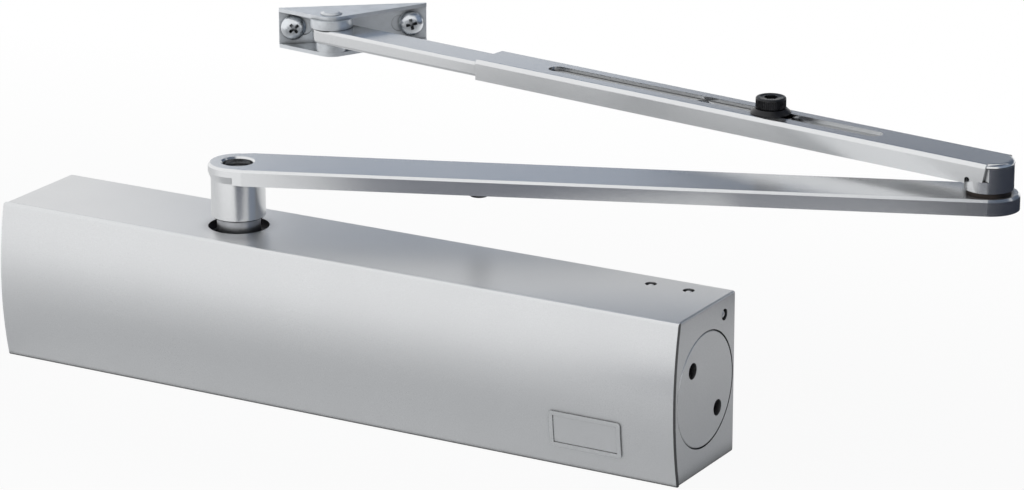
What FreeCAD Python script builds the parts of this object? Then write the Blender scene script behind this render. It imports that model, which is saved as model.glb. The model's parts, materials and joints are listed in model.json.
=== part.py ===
import FreeCAD, Part
import math
import os
import re

import Sketcher
from FreeCAD import Vector

# Overhead door closer with a rack and pinion body and a folding slide arm.
# Frame: origin in the middle of the four fixing holes on the back face of the body,
# +X along the body towards the arm's knuckle, +Y into the door, +Z up.

doc = FreeCAD.newDocument("door_closer")
sheet = doc.addObject("Spreadsheet::Sheet", "sizes")

# Sizes in millimetres and degrees

SIZES = (
    ("body_length", 287, "length of the body"),
    ("body_height", 60.4, "height of the body"),
    ("front_edge", 43.6, "back face to the cover's upper and lower edge"),
    ("front_bulge", 3.4, "rise of the cover's curved front above its edges"),
    ("cover_thickness", 1.8, "sheet of the front cover"),
    ("cover_seat", 0.1, "gap between cover and housing"),
    ("cover_rounding", 1.1, "rounding of the cover's long edges"),
    ("rib_height", 10, "cover's snap ribs above and below the middle"),
    ("rib_thickness", 1.6, "thickness of a snap rib"),
    ("rib_depth", 2.2, "reach of a snap rib into the housing"),
    ("rib_length", 210, "length of a snap rib"),
    ("rib_clearance", 0.1, "gap around a snap rib"),
    ("body_rounding", 0.9, "rounding of the housing's outer edges"),
    ("badge_width", 28.5, "badge along the body"),
    ("badge_height", 13.5, "badge up and down"),
    ("badge_thickness", 0.7, "badge above the cover"),
    ("badge_end_gap", 20.8, "badge to the right end of the body"),
    ("badge_middle", -15.6, "middle of the badge from the body's middle"),
    ("badge_rim", 1.5, "raised rim of the badge"),
    ("badge_recess", 0.35, "depth inside the badge's rim"),
    ("badge_corner", 1.2, "corner radius of the badge"),
    ("bore_depth", 22.8, "back face to the axis of the cylinder"),
    ("bore_radius", 17.5, "cylinder bore"),
    ("plug_radius", 21.4, "end plug"),
    ("plug_length", 16, "length of an end plug"),
    ("plug_clearance", 0.05, "radial gap of an end plug's thread"),
    ("plug_bevel", 0.7, "bevel around an end plug and its seat"),
    ("spanner_hole_radius", 3, "blind holes for the pin spanner"),
    ("spanner_hole_depth", 6, "depth of those holes"),
    ("spanner_offset", 9.7, "each hole from the plug's middle, across and up"),
    ("seal_section", 1.2, "radius of a seal ring's section"),
    ("seal_gap", 0.03, "gap between a seal ring and its groove"),
    ("plug_seal_place", 10, "end plug's seal ring from the outer face"),
    ("fixing_spacing", 190, "fixing holes along the body"),
    ("fixing_height", 48, "fixing holes up and down"),
    ("fixing_radius", 2.75, "fixing hole"),
    ("fixing_head_radius", 4.75, "counterbore for a fixing screw's head"),
    ("fixing_grip", 33, "back face to the floor of that counterbore"),
    ("spindle_place", 92.3, "left end of the body to the spindle"),
    ("shaft_bore_radius", 11.4, "bore for the shaft's bearings"),
    ("shaft_radius", 8.15, "journal of the pinion shaft"),
    ("shaft_lower_end", 22, "lower end of the shaft below the middle"),
    ("shaft_round_end", 36, "top of the round shaft above the middle"),
    ("shaft_top", 44.5, "top of the shaft's square end"),
    ("square_width", 12, "across the flats of the square end"),
    ("square_play", 0.05, "gap between square end and hub"),
    ("gear_module", 2.25, "module of rack and pinion"),
    ("gear_teeth", 10, "teeth of the pinion"),
    ("gear_angle", 27, "pressure angle"),
    ("gear_addendum", 0.9, "tooth above the pitch line, in modules"),
    ("gear_dedendum", 1.22, "tooth below the pitch line, in modules"),
    ("gear_backlash", 0.16, "play between rack and pinion"),
    ("gear_width", 18, "width of the pinion"),
    ("spindle_turn", 180, "full turn of the spindle"),
    ("bearing_place", 14.2, "near end of a needle bearing from the middle"),
    ("bearing_length", 7, "length of a needle bearing"),
    ("needle_radius", 1.25, "radius of a needle"),
    ("needle_count", 12, "needles in a bearing"),
    ("needle_play", 0.02, "radial play of the needles"),
    ("ring_clearance", 0.02, "gap around a pressed ring"),
    ("shaft_seal_place", 22, "shaft seal's lower face above the middle"),
    ("shaft_seal_length", 3.6, "length of the shaft seal"),
    ("shaft_seal_play", 0.05, "gap between shaft seal and shaft"),
    ("clip_thickness", 1.2, "retaining ring above the shaft seal"),
    ("clip_groove", 0.8, "depth of its groove in the housing"),
    ("clip_width", 2.6, "radial width of the retaining ring"),
    ("clip_gap", 50, "opening of the retaining ring, in degrees"),
    ("cap_length", 6.5, "length of the lower bearing cap"),
    ("cap_seal_place", 3.4, "cap's seal ring from its outer face"),
    ("cap_hole_radius", 1.6, "spanner holes of the cap"),
    ("cap_hole_offset", 6.5, "spanner holes from the cap's middle"),
    ("channel_depth", 8.6, "drilled oil channel from the back face"),
    ("channel_height", 23.6, "drilled oil channel above the middle"),
    ("channel_radius", 1.3, "drilled oil channel"),
    ("channel_reach", 41, "length of the channel from the right end"),
    ("ball_radius", 2.1, "ball that closes a drilling"),
    ("ball_clearance", 0.03, "gap around a ball"),
    ("ball_sink", 0.2, "top of a ball under the surface"),
    ("drilling_radius", 1, "drilling from the top to the channel"),
    ("first_drilling", 14.3, "first drilling from the right end"),
    ("second_drilling", 29.4, "second drilling from the right end"),
    ("speed_valve_place", 23.1, "closing speed valve from the right end"),
    ("latch_valve_place", 37.4, "latching speed valve from the right end"),
    ("valve_radius", 3.4, "body of a regulating valve"),
    ("valve_play", 0.06, "running gap around a valve"),
    ("valve_tip_radius", 1.1, "tip of a valve"),
    ("valve_tip_length", 5, "tapered length of a valve"),
    ("valve_start", 12, "tip of a valve from the back face"),
    ("valve_end", 39.5, "head of a valve from the back face"),
    ("valve_seal_section", 0.7, "radius of the valve seal's section"),
    ("valve_port_radius", 0.8, "ports from a valve to the channel and the cylinder"),
    ("valve_port_place", 2.6, "port to the cylinder, from the tip of a valve"),
    ("valve_slot", 1.0, "width of the screwdriver slot"),
    ("valve_slot_depth", 1.6, "depth of the screwdriver slot"),
    ("piston_play", 0.04, "radial running gap of the piston"),
    ("piston_head", 14, "length of each piston head"),
    ("piston_bevel", 0.8, "bevel of the piston's ends"),
    ("window_clearance", 1.1, "piston window around the pinion"),
    ("window_relief", 0.4, "window above and below the teeth"),
    ("relief_reach", 12.2, "piston window beside the bearings, from the axis"),
    ("piston_seal_place", 8, "piston seal from the left end of the piston"),
    ("piston_seal_width", 3, "width of the piston seal"),
    ("piston_seal_depth", 1.7, "depth of the piston seal's groove"),
    ("spring_pilot_radius", 11, "pilot that centres the spring"),
    ("spring_pilot_length", 4, "length of that pilot"),
    ("oil_hole_radius", 2, "oil hole through a piston head"),
    ("check_chamber_radius", 3.6, "chamber of the check valve"),
    ("check_chamber_depth", 9, "depth of that chamber"),
    ("check_ball_radius", 3.1, "check valve ball"),
    ("check_ring_length", 2, "threaded ring that keeps the ball"),
    ("spring_wire", 4.2, "wire of the main spring"),
    ("spring_radius", 13.2, "mean radius of the main spring"),
    ("spring_turns", 12, "turns of the main spring"),
    ("spring_end_gap", 0.1, "gap at each end of the main spring"),
    ("seat_thickness", 3, "flange of the spring seat"),
    ("seat_radius", 17, "flange radius of the spring seat"),
    ("arm_length", 275.6, "spindle to knuckle"),
    ("arm_angle", 21.8, "main arm from +X, as pictured"),
    ("arm_thickness", 6, "thickness of the main arm"),
    ("arm_hub_radius", 11.1, "round hub end of the main arm"),
    ("arm_root_width", 24, "width of the main arm near the hub"),
    ("arm_tip_width", 23, "width of the main arm at the knuckle"),
    ("arm_flare", 3.5, "length in which the hub widens to the arm"),
    ("arm_bevel", 0.9, "bevel along the arm's upper edge"),
    ("hub_taper_height", 2.8, "tapered underside of the hub end, upright"),
    ("hub_gap", 3.8, "top of the body to the hub's boss"),
    ("boss_radius", 10.1, "boss under the hub"),
    ("boss_height", 14.8, "height of that boss"),
    ("boss_bevel", 0.5, "bevel at the foot of the boss"),
    ("hub_recess_radius", 5.75, "recess for the hub's screw"),
    ("hub_recess_depth", 8, "depth of that recess"),
    ("hub_recess_bevel", 0.7, "bevel of the recess"),
    ("arm_screw_radius", 3, "hub screw's shank"),
    ("arm_screw_clearance", 0.3, "hole in the hub around that shank"),
    ("thread_clearance", 0.05, "gap of a thread"),
    ("arm_screw_length", 18, "length of that shank"),
    ("arm_screw_head_radius", 5, "hub screw's head"),
    ("arm_screw_head_height", 4, "height of that head"),
    ("arm_washer_thickness", 1.2, "washer under the hub screw"),
    ("arm_washer_radius", 5.4, "radius of that washer"),
    ("hex_width", 5, "across the flats of a hexagon socket"),
    ("hex_depth", 2.6, "depth of a hexagon socket"),
    ("buffer_place", 90, "buffer under the arm from the spindle"),
    ("buffer_radius", 3.9, "buffer's head"),
    ("buffer_height", 2.6, "buffer below the arm"),
    ("buffer_pin_radius", 1.8, "pin of the buffer in the arm"),
    ("buffer_pin_length", 3.5, "length of that pin"),
    ("pin_radius", 4.5, "knuckle post's pin through the arm"),
    ("pin_play", 0.04, "running gap of a hinge pin"),
    ("bush_wall", 1.5, "wall of the knuckle bush"),
    ("bush_flange_radius", 8.2, "flange of the knuckle bush"),
    ("bush_flange", 1.5, "thickness of that flange"),
    ("hinge_gap", 0.1, "gap between faces that turn on each other"),
    ("post_radius", 9.1, "knuckle post"),
    ("post_bevel", 0.5, "groove between post and channel"),
    ("post_rise", 3, "foot of the post to the channel's lower edge"),
    ("rivet_radius", 6, "riveted end of the post's pin"),
    ("rivet_height", 1, "height of that riveted end"),
    ("post_washer_thickness", 0.8, "washer above the riveted end"),
    ("post_washer_radius", 8, "radius of that washer"),
    ("forearm_length", 310.8, "knuckle to bracket pin"),
    ("forearm_angle", 171.65, "forearm from +X, as pictured"),
    ("channel_width", 18.5, "forearm channel"),
    ("channel_rise", 8.1, "height of the channel"),
    ("channel_wall", 1.4, "sheet of the channel"),
    ("channel_rounding", 1.6, "outer rounding of the channel"),
    ("channel_start", -3.8, "flanges of the channel from the knuckle, here beyond it"),
    ("channel_end", 229.3, "open end of the channel from the knuckle"),
    ("flange_slant", 1.1, "slant of the flanges' end"),
    ("flange_step", 1.3, "lower edge raised between the notch and that end"),
    ("post_flat_play", 0.05, "gap between the post's flats and the flanges"),
    ("relief_notch", 1.1, "radius of the notch at the flange's end"),
    ("relief_notch_place", 7.5, "notch from the flange's end"),
    ("slot_start", 46.5, "slot's end near the knuckle"),
    ("slot_end", 199.4, "slot's end near the bracket"),
    ("slot_width", 7, "slot of the channel"),
    ("rod_width", 15.4, "forearm rod"),
    ("rod_thickness", 6, "thickness of the rod"),
    ("rod_play", 0.1, "gap between rod and channel"),
    ("rod_inner_end", 88, "rod's inner end from the knuckle"),
    ("rod_rounding", 1.2, "rounding of the rod's edges"),
    ("rod_eye_radius", 7.7, "rod's end around the bracket pin"),
    ("clamp_place", 95.7, "clamp screw from the knuckle"),
    ("spare_hole_place", 127.5, "spare threaded hole from the knuckle"),
    ("clamp_radius", 3, "clamp screw's shank"),
    ("clamp_head_radius", 5.75, "clamp screw's head"),
    ("clamp_head_height", 4.1, "height of that head"),
    ("clamp_head_bevel", 0.7, "bevel of that head"),
    ("clamp_washer_radius", 7.6, "foot of the flared washer"),
    ("clamp_washer_top", 6.0, "top radius of the flared washer"),
    ("clamp_washer_height", 1.9, "height of the flared washer"),
    ("clamp_washer_edge", 0.5, "upright edge of the flared washer"),
    ("bracket_angle", 38, "bracket's plate from +X, as pictured"),
    ("bracket_left", 20.1, "plate's left end from the pin"),
    ("bracket_right", 40, "plate's right end from the pin"),
    ("bracket_height", 16.4, "height of the bracket"),
    ("bracket_sheet", 1.5, "sheet of the bracket"),
    ("bracket_bend", 1.5, "outer bend radius of the bracket"),
    ("bracket_reach", 13.6, "pin to the bracket's back"),
    ("lug_radius", 6.5, "round end of a lug"),
    ("upper_bush_radius", 8.6, "upper bush on the bracket pin"),
    ("upper_bush_height", 3.6, "height of the upper bush"),
    ("lower_bush_radius", 6.5, "lower bush on the bracket pin"),
    ("bracket_pin_radius", 3.6, "bracket pin"),
    ("pin_head_radius", 4.4, "riveted heads of the bracket pin"),
    ("pin_head_height", 0.8, "height of those heads"),
    ("screw_spacing", 48, "bracket screws"),
    ("screw_middle", 9.6, "middle of the screws from the pin"),
    ("screw_slot_length", 12, "pressed slots for the bracket screws"),
    ("screw_slot_width", 7, "width of those slots and of their round holes"),
    ("screw_slot_shift", 2, "slot's middle inward from the screw"),
    ("screw_slot_depth", 0.4, "pressed depth of those slots around the round holes"),
    ("screw_radius", 2.25, "bracket screw's shank"),
    ("screw_head_radius", 5.1, "bracket screw's head"),
    ("screw_head_height", 3, "height of that head"),
    ("screw_edge_height", 1.2, "upright edge of that head"),
    ("screw_length", 14, "shank behind the bracket"),
    ("screw_cross_length", 5, "cross recess, tip to tip"),
    ("screw_cross_width", 1.1, "width of the cross recess"),
    ("screw_cross_depth", 1.6, "depth of the cross recess"),
)
ALIASES = set()
for row, (alias, number, meaning) in enumerate(SIZES, 1):
    sheet.set(f"A{row}", meaning)
    sheet.set(f"B{row}", str(number))
    sheet.setAlias(f"B{row}", alias)
    ALIASES.add(alias)
doc.recompute()


# Formulas of the sheet's values

WORD = re.compile(r"[a-z][a-z_0-9]*")


def formula(text):
    """The text as an expression in which each size is a cell of the sheet."""
    def cell(word):
        return "sizes." + word.group() if word.group() in ALIASES else word.group()
    return WORD.sub(cell, str(text))


def value(text):
    """The number that a formula gives."""
    return float(sheet.evalExpression(formula(text)))


def bind(item, path, text):
    """Ties a property of an object to a formula."""
    item.setExpression(path, formula(text))


# Places and levels that several pieces share

HALF_LENGTH = "(body_length / 2)"
HALF_HEIGHT = "(body_height / 2)"
FRONT_RADIUS = "((body_height^2 / 4 + front_bulge^2) / (2 * front_bulge))"
FRONT_MIDDLE = f"({FRONT_RADIUS} - front_edge - front_bulge)"
SPINDLE_X = f"(spindle_place - {HALF_LENGTH})"
SPINDLE = (SPINDLE_X, "-bore_depth", "0")
KNUCKLE_X = f"(arm_length * cos(arm_angle) + {SPINDLE_X})"
KNUCKLE_Y = "(arm_length * sin(arm_angle) - bore_depth)"
KNUCKLE = (KNUCKLE_X, KNUCKLE_Y, "0")
PIVOT_X = f"({KNUCKLE_X} + forearm_length * cos(forearm_angle))"
PIVOT_Y = f"({KNUCKLE_Y} + forearm_length * sin(forearm_angle))"
PIVOT = (PIVOT_X, PIVOT_Y, "0")

BOSS_FOOT = f"({HALF_HEIGHT} + hub_gap)"
ARM_BOTTOM = f"({BOSS_FOOT} + boss_height)"
ARM_TOP = f"({ARM_BOTTOM} + arm_thickness)"
RECESS_FLOOR = f"({ARM_TOP} - hub_recess_depth)"
POST_FOOT = f"({ARM_TOP} + bush_flange + hinge_gap)"
CHANNEL_BOTTOM = f"({POST_FOOT} + post_rise)"
CHANNEL_TOP = f"({CHANNEL_BOTTOM} + channel_rise)"
CEILING = f"({CHANNEL_TOP} - channel_wall)"
ROD_TOP = f"({CEILING} - rod_play)"
ROD_BOTTOM = f"({ROD_TOP} - rod_thickness)"
LUG_UNDERSIDE = f"({ROD_TOP} + upper_bush_height + hinge_gap)"
BRACKET_TOP = f"({LUG_UNDERSIDE} + bracket_sheet)"
BRACKET_BOTTOM = f"({BRACKET_TOP} - bracket_height)"
LOWER_LUG_TOP = f"({BRACKET_BOTTOM} + bracket_sheet)"

PITCH_RADIUS = "(gear_module * gear_teeth / 2)"
GEAR_TIP = f"({PITCH_RADIUS} + gear_addendum * gear_module)"
RACK_TIP = f"({PITCH_RADIUS} - gear_addendum * gear_module)"
RACK_ROOT = f"({PITCH_RADIUS} + gear_dedendum * gear_module)"
RACK_PITCH = "(pi * gear_module)"
TRAVEL = f"({PITCH_RADIUS} * spindle_turn * pi / 180)"
WINDOW_RIGHT = f"({GEAR_TIP} + window_clearance)"
WINDOW_LEFT = f"(-{GEAR_TIP} - window_clearance - {TRAVEL})"
PISTON_RIGHT = f"({WINDOW_RIGHT} + piston_head)"
PISTON_LEFT = f"({WINDOW_LEFT} - piston_head)"
PLUG_INNER = f"({HALF_LENGTH} - {SPINDLE_X} - plug_length)"
SEAT_FACE = f"({PLUG_INNER} - seat_thickness)"
VALVE_PLACES = (f"({HALF_LENGTH} - speed_valve_place)", f"({HALF_LENGTH} - latch_valve_place)")


# Drawing and features

def new_body(label, place=("0", "0", "0"), turn="0"):
    """An empty body at its place, turned about the upright axis."""
    body = doc.addObject("PartDesign::Body", label)
    body.Label = label
    body.AllowCompound = True
    for axis, text in zip("xyz", place):
        bind(body, f"Placement.Base.{axis}", text)
    bind(body, "Placement.Rotation.Angle", turn)
    return body


def new_sketch(body, role, offset=None):
    """A sketch on one of the body's own planes, moved along the plane's normal."""
    sketch = body.newObject("Sketcher::SketchObject", "outline")
    plane = [item for item in body.Origin.OriginFeatures if item.Role == role][0]
    sketch.AttachmentSupport = [(plane, "")]
    sketch.MapMode = "FlatFace"
    if offset is not None:
        bind(sketch, "AttachmentOffset.Base.z", offset)
    return sketch


def pin_point(sketch, geometry, point, texts):
    """Holds a point of the sketch at two formulas."""
    for kind, line, text in (("DistanceX", -2, texts[0]), ("DistanceY", -1, texts[1])):
        number = value(text)
        if abs(number) < 1e-9:
            sketch.addConstraint(Sketcher.Constraint("PointOnObject", geometry, point, line))
        elif number > 0:
            index = sketch.addConstraint(Sketcher.Constraint(kind, -1, 1, geometry, point, number))
            sketch.setExpression(f"Constraints[{index}]", formula(text))
        else:
            index = sketch.addConstraint(Sketcher.Constraint(kind, geometry, point, -1, 1, -number))
            sketch.setExpression(f"Constraints[{index}]", formula(f"-({text})"))


def add_circle(sketch, middle, radius):
    """A circle whose middle and radius are formulas."""
    centre = Vector(value(middle[0]), value(middle[1]), 0)
    index = sketch.addGeometry(Part.Circle(centre, Vector(0, 0, 1), value(radius)))
    pin_point(sketch, index, 3, middle)
    size = sketch.addConstraint(Sketcher.Constraint("Radius", index, value(radius)))
    sketch.setExpression(f"Constraints[{size}]", formula(radius))


def add_outline(sketch, corners):
    """A closed outline. A corner is (x, y), or (x, y, cx, cy, way) where an arc about
    (cx, cy) leads on from it: way is 1 for anticlockwise and -1 for clockwise."""
    points = [Vector(value(corner[0]), value(corner[1]), 0) for corner in corners]
    ends = []
    for number, corner in enumerate(corners):
        start, stop = points[number], points[(number + 1) % len(points)]
        if len(corner) == 2:
            index = sketch.addGeometry(Part.LineSegment(start, stop))
            ends.append((index, 1, 2))
            continue
        centre = Vector(value(corner[2]), value(corner[3]), 0)
        first, last = (start, stop) if corner[4] > 0 else (stop, start)
        circle = Part.Circle(centre, Vector(0, 0, 1), (start - centre).Length)
        angles = [math.atan2(point.y - centre.y, point.x - centre.x) for point in (first, last)]
        index = sketch.addGeometry(Part.ArcOfCircle(circle, angles[0], angles[1]))
        ends.append((index, 1, 2) if corner[4] > 0 else (index, 2, 1))
    for number, (index, _, last) in enumerate(ends):
        following = ends[(number + 1) % len(ends)]
        sketch.addConstraint(Sketcher.Constraint("Coincident", index, last, following[0], following[1]))
    for number, corner in enumerate(corners):
        index, first, _ = ends[number]
        pin_point(sketch, index, first, corner[:2])
        if len(corner) > 2:
            chord = points[(number + 1) % len(points)] - points[number]
            pin_centre(sketch, index, corner, abs(chord.y) > abs(chord.x))


def pin_centre(sketch, index, corner, along_x):
    """Holds the one free coordinate of an arc's centre."""
    text = corner[2] if along_x else corner[3]
    number = value(text)
    if abs(number) < 1e-9:
        line = -2 if along_x else -1
        sketch.addConstraint(Sketcher.Constraint("PointOnObject", index, 3, line))
        return
    kind = "DistanceX" if along_x else "DistanceY"
    points = (-1, 1, index, 3) if number > 0 else (index, 3, -1, 1)
    size = sketch.addConstraint(Sketcher.Constraint(kind, *points, abs(number)))
    sketch.setExpression(f"Constraints[{size}]", formula(text if number > 0 else f"-({text})"))


def box_corners(low_x, high_x, low_y, high_y):
    """The four corners of an upright rectangle."""
    return [(low_x, low_y), (high_x, low_y), (high_x, high_y), (low_x, high_y)]


def slot_corners(low_x, high_x, middle_y, radius):
    """The corners of a slot along X with round ends."""
    low, high = f"({middle_y} - {radius})", f"({middle_y} + {radius})"
    left, right = f"({low_x} + {radius})", f"({high_x} - {radius})"
    return [(left, low), (right, low, right, middle_y, 1), (right, high), (left, high, left, middle_y, 1)]


def add_pad(body, sketch, length, centred=False, reverse=False):
    """Material along the sketch's normal."""
    pad = body.newObject("PartDesign::Pad", "pad")
    pad.Profile = sketch
    bind(pad, "Length", length)
    pad.SideType = "Symmetric" if centred else "One side"
    pad.Reversed = reverse
    doc.recompute()
    return pad


def cut_volume(body, feature):
    """Recomputes and makes sure that the feature took material away."""
    before = feature.BaseFeature.Shape.Volume
    doc.recompute()
    if not feature.Shape.Volume < before:
        raise RuntimeError(f"{body.Label}: {feature.Name} cuts nothing")
    return feature


def add_pocket(body, sketch, length, centred=False, reverse=False):
    """A cut against the sketch's normal, or along it when reversed."""
    pocket = body.newObject("PartDesign::Pocket", "pocket")
    pocket.Profile = sketch
    bind(pocket, "Length", length)
    pocket.SideType = "Symmetric" if centred else "One side"
    pocket.Reversed = reverse
    return cut_volume(body, pocket)


def add_revolution(body, sketch, axis, angle="360"):
    """A turn of the sketch about one of its axes, as far to one side as to the other."""
    turned = body.newObject("PartDesign::Revolution", "turned")
    turned.Profile = sketch
    turned.ReferenceAxis = (sketch, [axis])
    turned.Midplane = True
    bind(turned, "Angle", angle)
    doc.recompute()
    return turned


def add_groove(body, sketch, axis, degrees=360):
    """A turn of the sketch, taken away."""
    groove = body.newObject("PartDesign::Groove", "groove")
    groove.Profile = sketch
    groove.ReferenceAxis = (sketch, [axis])
    groove.Angle = degrees
    return cut_volume(body, groove)


def edge_names(feature, wanted):
    """Names of the feature's edges that the test picks."""
    return [f"Edge{number}" for number, edge in enumerate(feature.Shape.Edges, 1) if wanted(edge)]


def dress(body, kind, feature, names, size, size_name):
    """A fillet or chamfer on the named edges or faces."""
    dressed = body.newObject(f"PartDesign::{kind}", kind.lower())
    dressed.Base = (feature, names)
    bind(dressed, size_name, size)
    doc.recompute()
    return dressed


def on_level(edge, axis, level):
    """Whether the whole edge lies in a plane across the axis."""
    points = [getattr(vertex.Point, axis) for vertex in edge.Vertexes]
    points.append(getattr(edge.valueAt((edge.FirstParameter + edge.LastParameter) / 2), axis))
    return all(abs(point - level) < 1e-4 for point in points)


def runs_along(edge, axis):
    """Whether a straight edge runs along the axis."""
    way = edge.Vertexes[-1].Point - edge.Vertexes[0].Point
    return way.Length > 0 and abs(getattr(way, axis)) > 0.999 * way.Length


def turned_upright(label, place, profile, turn="0"):
    """A piece turned about its upright axis; the profile is (radius, height) corners."""
    body = new_body(label, place, turn)
    sketch = new_sketch(body, "XZ_Plane")
    add_outline(sketch, profile)
    add_revolution(body, sketch, "V_Axis")
    return body


def turned_lengthwise(label, place, profile, turn="0"):
    """A piece turned about its own X axis; the profile is (length, radius) corners."""
    body = new_body(label, place, turn)
    sketch = new_sketch(body, "XY_Plane")
    add_outline(sketch, profile)
    add_revolution(body, sketch, "H_Axis")
    return body


def ring_profile(inner, outer, low, high):
    """Corners of a plain ring's section."""
    return box_corners(inner, outer, low, high)


def finish_pattern(body, kind, original, axis, settings, bindings):
    """Repeats a feature and makes the pattern the body's result."""
    pattern = body.newObject(f"PartDesign::{kind}", "pattern")
    pattern.Originals = [original]
    setattr(pattern, "Axis" if kind == "PolarPattern" else "Direction", axis)
    for name, setting in settings.items():
        setattr(pattern, name, setting)
    for name, text in bindings.items():
        bind(pattern, name, text)
    body.Tip = pattern
    doc.recompute()
    return pattern


# Housing: cast block with cylinder, plug seats, shaft bores and oil drillings

def front_edge_at(radius, height="body_height / 2"):
    """Y of a front surface of the given radius at a height."""
    return f"({FRONT_MIDDLE} - sqrt({radius}^2 - ({height})^2))"


def front_outline(radius, back):
    """Section between a straight back and a curved front."""
    edge = front_edge_at(radius)
    return [
        (back, f"-{HALF_HEIGHT}"),
        (back, HALF_HEIGHT),
        (edge, HALF_HEIGHT, FRONT_MIDDLE, "0", 1),
        (edge, f"-{HALF_HEIGHT}"),
    ]


def build_housing():
    body = new_body("housing")
    sketch = new_sketch(body, "YZ_Plane")
    add_outline(sketch, front_outline(f"({FRONT_RADIUS} - cover_thickness - cover_seat)", "0"))
    block = add_pad(body, sketch, "body_length", centred=True)
    front = value(front_edge_at(f"({FRONT_RADIUS} - cover_thickness - cover_seat)"))
    half = value(HALF_LENGTH)
    rims = edge_names(block, lambda edge: (on_level(edge, "x", half) or on_level(edge, "x", -half)
                                           or (runs_along(edge, "x") and not on_level(edge, "y", front)))
                      and min(vertex.Point.y for vertex in edge.Vertexes) > front - 1e-4
                      and not on_front(edge, front))
    dress(body, "Fillet", block, rims, "body_rounding", "Radius")

    sketch = new_sketch(body, "YZ_Plane")
    add_circle(sketch, ("-bore_depth", "0"), "bore_radius")
    add_pocket(body, sketch, "body_length + 2", centred=True)
    for way, reverse in (("", False), ("-", True)):
        sketch = new_sketch(body, "YZ_Plane", f"{way}{HALF_LENGTH}")
        add_circle(sketch, ("-bore_depth", "0"), "plug_radius + plug_clearance")
        add_pocket(body, sketch, "plug_length", reverse=reverse)

    sketch = new_sketch(body, "XY_Plane")
    add_circle(sketch, SPINDLE[:2], "shaft_bore_radius")
    add_pocket(body, sketch, "body_height + 2", centred=True)
    sketch = new_sketch(body, "XY_Plane", "shaft_seal_place + shaft_seal_length")
    add_circle(sketch, SPINDLE[:2], "shaft_bore_radius + clip_groove")
    add_pocket(body, sketch, "clip_thickness + 2 * ring_clearance", reverse=True)

    for radius, start in (("fixing_radius", "0"), ("fixing_head_radius", "fixing_grip")):
        sketch = new_sketch(body, "XZ_Plane", start)
        for side in ("-", ""):
            for level in ("-", ""):
                add_circle(sketch, (f"{side}fixing_spacing / 2", f"{level}fixing_height / 2"), radius)
        add_pocket(body, sketch, "body_height", reverse=True)

    sketch = new_sketch(body, "XZ_Plane")
    grooves = "rib_thickness / 2 + rib_clearance"
    for level in ("rib_height", "-rib_height"):
        add_outline(sketch, box_corners("-rib_length / 2 - rib_clearance", "rib_length / 2 + rib_clearance",
                                        f"{level} - ({grooves})", f"{level} + {grooves}"))
    bind(sketch, "AttachmentOffset.Base.z", f"-{rib_tip()} - rib_clearance")
    add_pocket(body, sketch, "body_height", reverse=True)

    sketch = new_sketch(body, "YZ_Plane", HALF_LENGTH)
    add_circle(sketch, ("-channel_depth", "channel_height"), "channel_radius")
    add_pocket(body, sketch, "channel_reach")
    sketch = new_sketch(body, "YZ_Plane", HALF_LENGTH)
    add_circle(sketch, ("-channel_depth", "channel_height"), "ball_radius + ball_clearance")
    add_pocket(body, sketch, "2 * ball_radius + ball_sink")
    for radius, length in (("drilling_radius", f"{HALF_HEIGHT} - channel_height"),
                           ("ball_radius + ball_clearance", "2 * ball_radius + ball_sink")):
        sketch = new_sketch(body, "XY_Plane", HALF_HEIGHT)
        for place in ("first_drilling", "second_drilling"):
            add_circle(sketch, (f"{HALF_LENGTH} - {place}", "-channel_depth"), radius)
        add_pocket(body, sketch, length)

    for radius, start in (("valve_radius + valve_play", "valve_start - valve_tip_radius"),
                          ("valve_port_radius", "channel_depth")):
        sketch = new_sketch(body, "XZ_Plane", start)
        for place in VALVE_PLACES:
            add_circle(sketch, (place, "channel_height"), radius)
        add_pocket(body, sketch, "body_height", reverse=True)
    sketch = new_sketch(body, "XY_Plane", "channel_height")
    for place in VALVE_PLACES:
        add_circle(sketch, (place, "-valve_start - valve_port_place"), "valve_port_radius")
    add_pocket(body, sketch, "channel_height - bore_radius / 2")
    return body


def on_front(edge, front):
    """Whether an edge belongs to the housing's curved front."""
    middle = edge.valueAt((edge.FirstParameter + edge.LastParameter) / 2)
    return middle.y < front + 1e-4


def rib_tip():
    """Y of the snap ribs' tips."""
    return f"({front_edge_at(f'({FRONT_RADIUS} - cover_thickness)', 'rib_height')} + rib_depth)"


# Front cover and badge

def build_front_cover():
    body = new_body("front_cover")
    inner = f"({FRONT_RADIUS} - cover_thickness)"
    back, front = front_edge_at(inner), front_edge_at(FRONT_RADIUS)
    sketch = new_sketch(body, "YZ_Plane")
    add_outline(sketch, [
        (back, f"-{HALF_HEIGHT}", FRONT_MIDDLE, "0", -1),
        (back, HALF_HEIGHT),
        (front, HALF_HEIGHT, FRONT_MIDDLE, "0", 1),
        (front, f"-{HALF_HEIGHT}"),
    ])
    shell = add_pad(body, sketch, "body_length", centred=True)
    level = value(front)
    rims = edge_names(shell, lambda edge: runs_along(edge, "x") and on_level(edge, "y", level))
    dress(body, "Fillet", shell, rims, "cover_rounding", "Radius")
    sketch = new_sketch(body, "YZ_Plane")
    root = f"({front_edge_at(f'({FRONT_RADIUS} - cover_thickness / 2)', 'rib_height')})"
    for side in ("", "-"):
        add_outline(sketch, box_corners(root, rib_tip(), f"{side}rib_height - rib_thickness / 2",
                                        f"{side}rib_height + rib_thickness / 2"))
    add_pad(body, sketch, "rib_length", centred=True)
    return body


def band_outline(inner, outer, low, high):
    """Section of a curved band in front of the cover, between two heights."""
    return [
        (front_edge_at(inner, low), low, FRONT_MIDDLE, "0", -1),
        (front_edge_at(inner, high), high),
        (front_edge_at(outer, high), high, FRONT_MIDDLE, "0", 1),
        (front_edge_at(outer, low), low),
    ]


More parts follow.
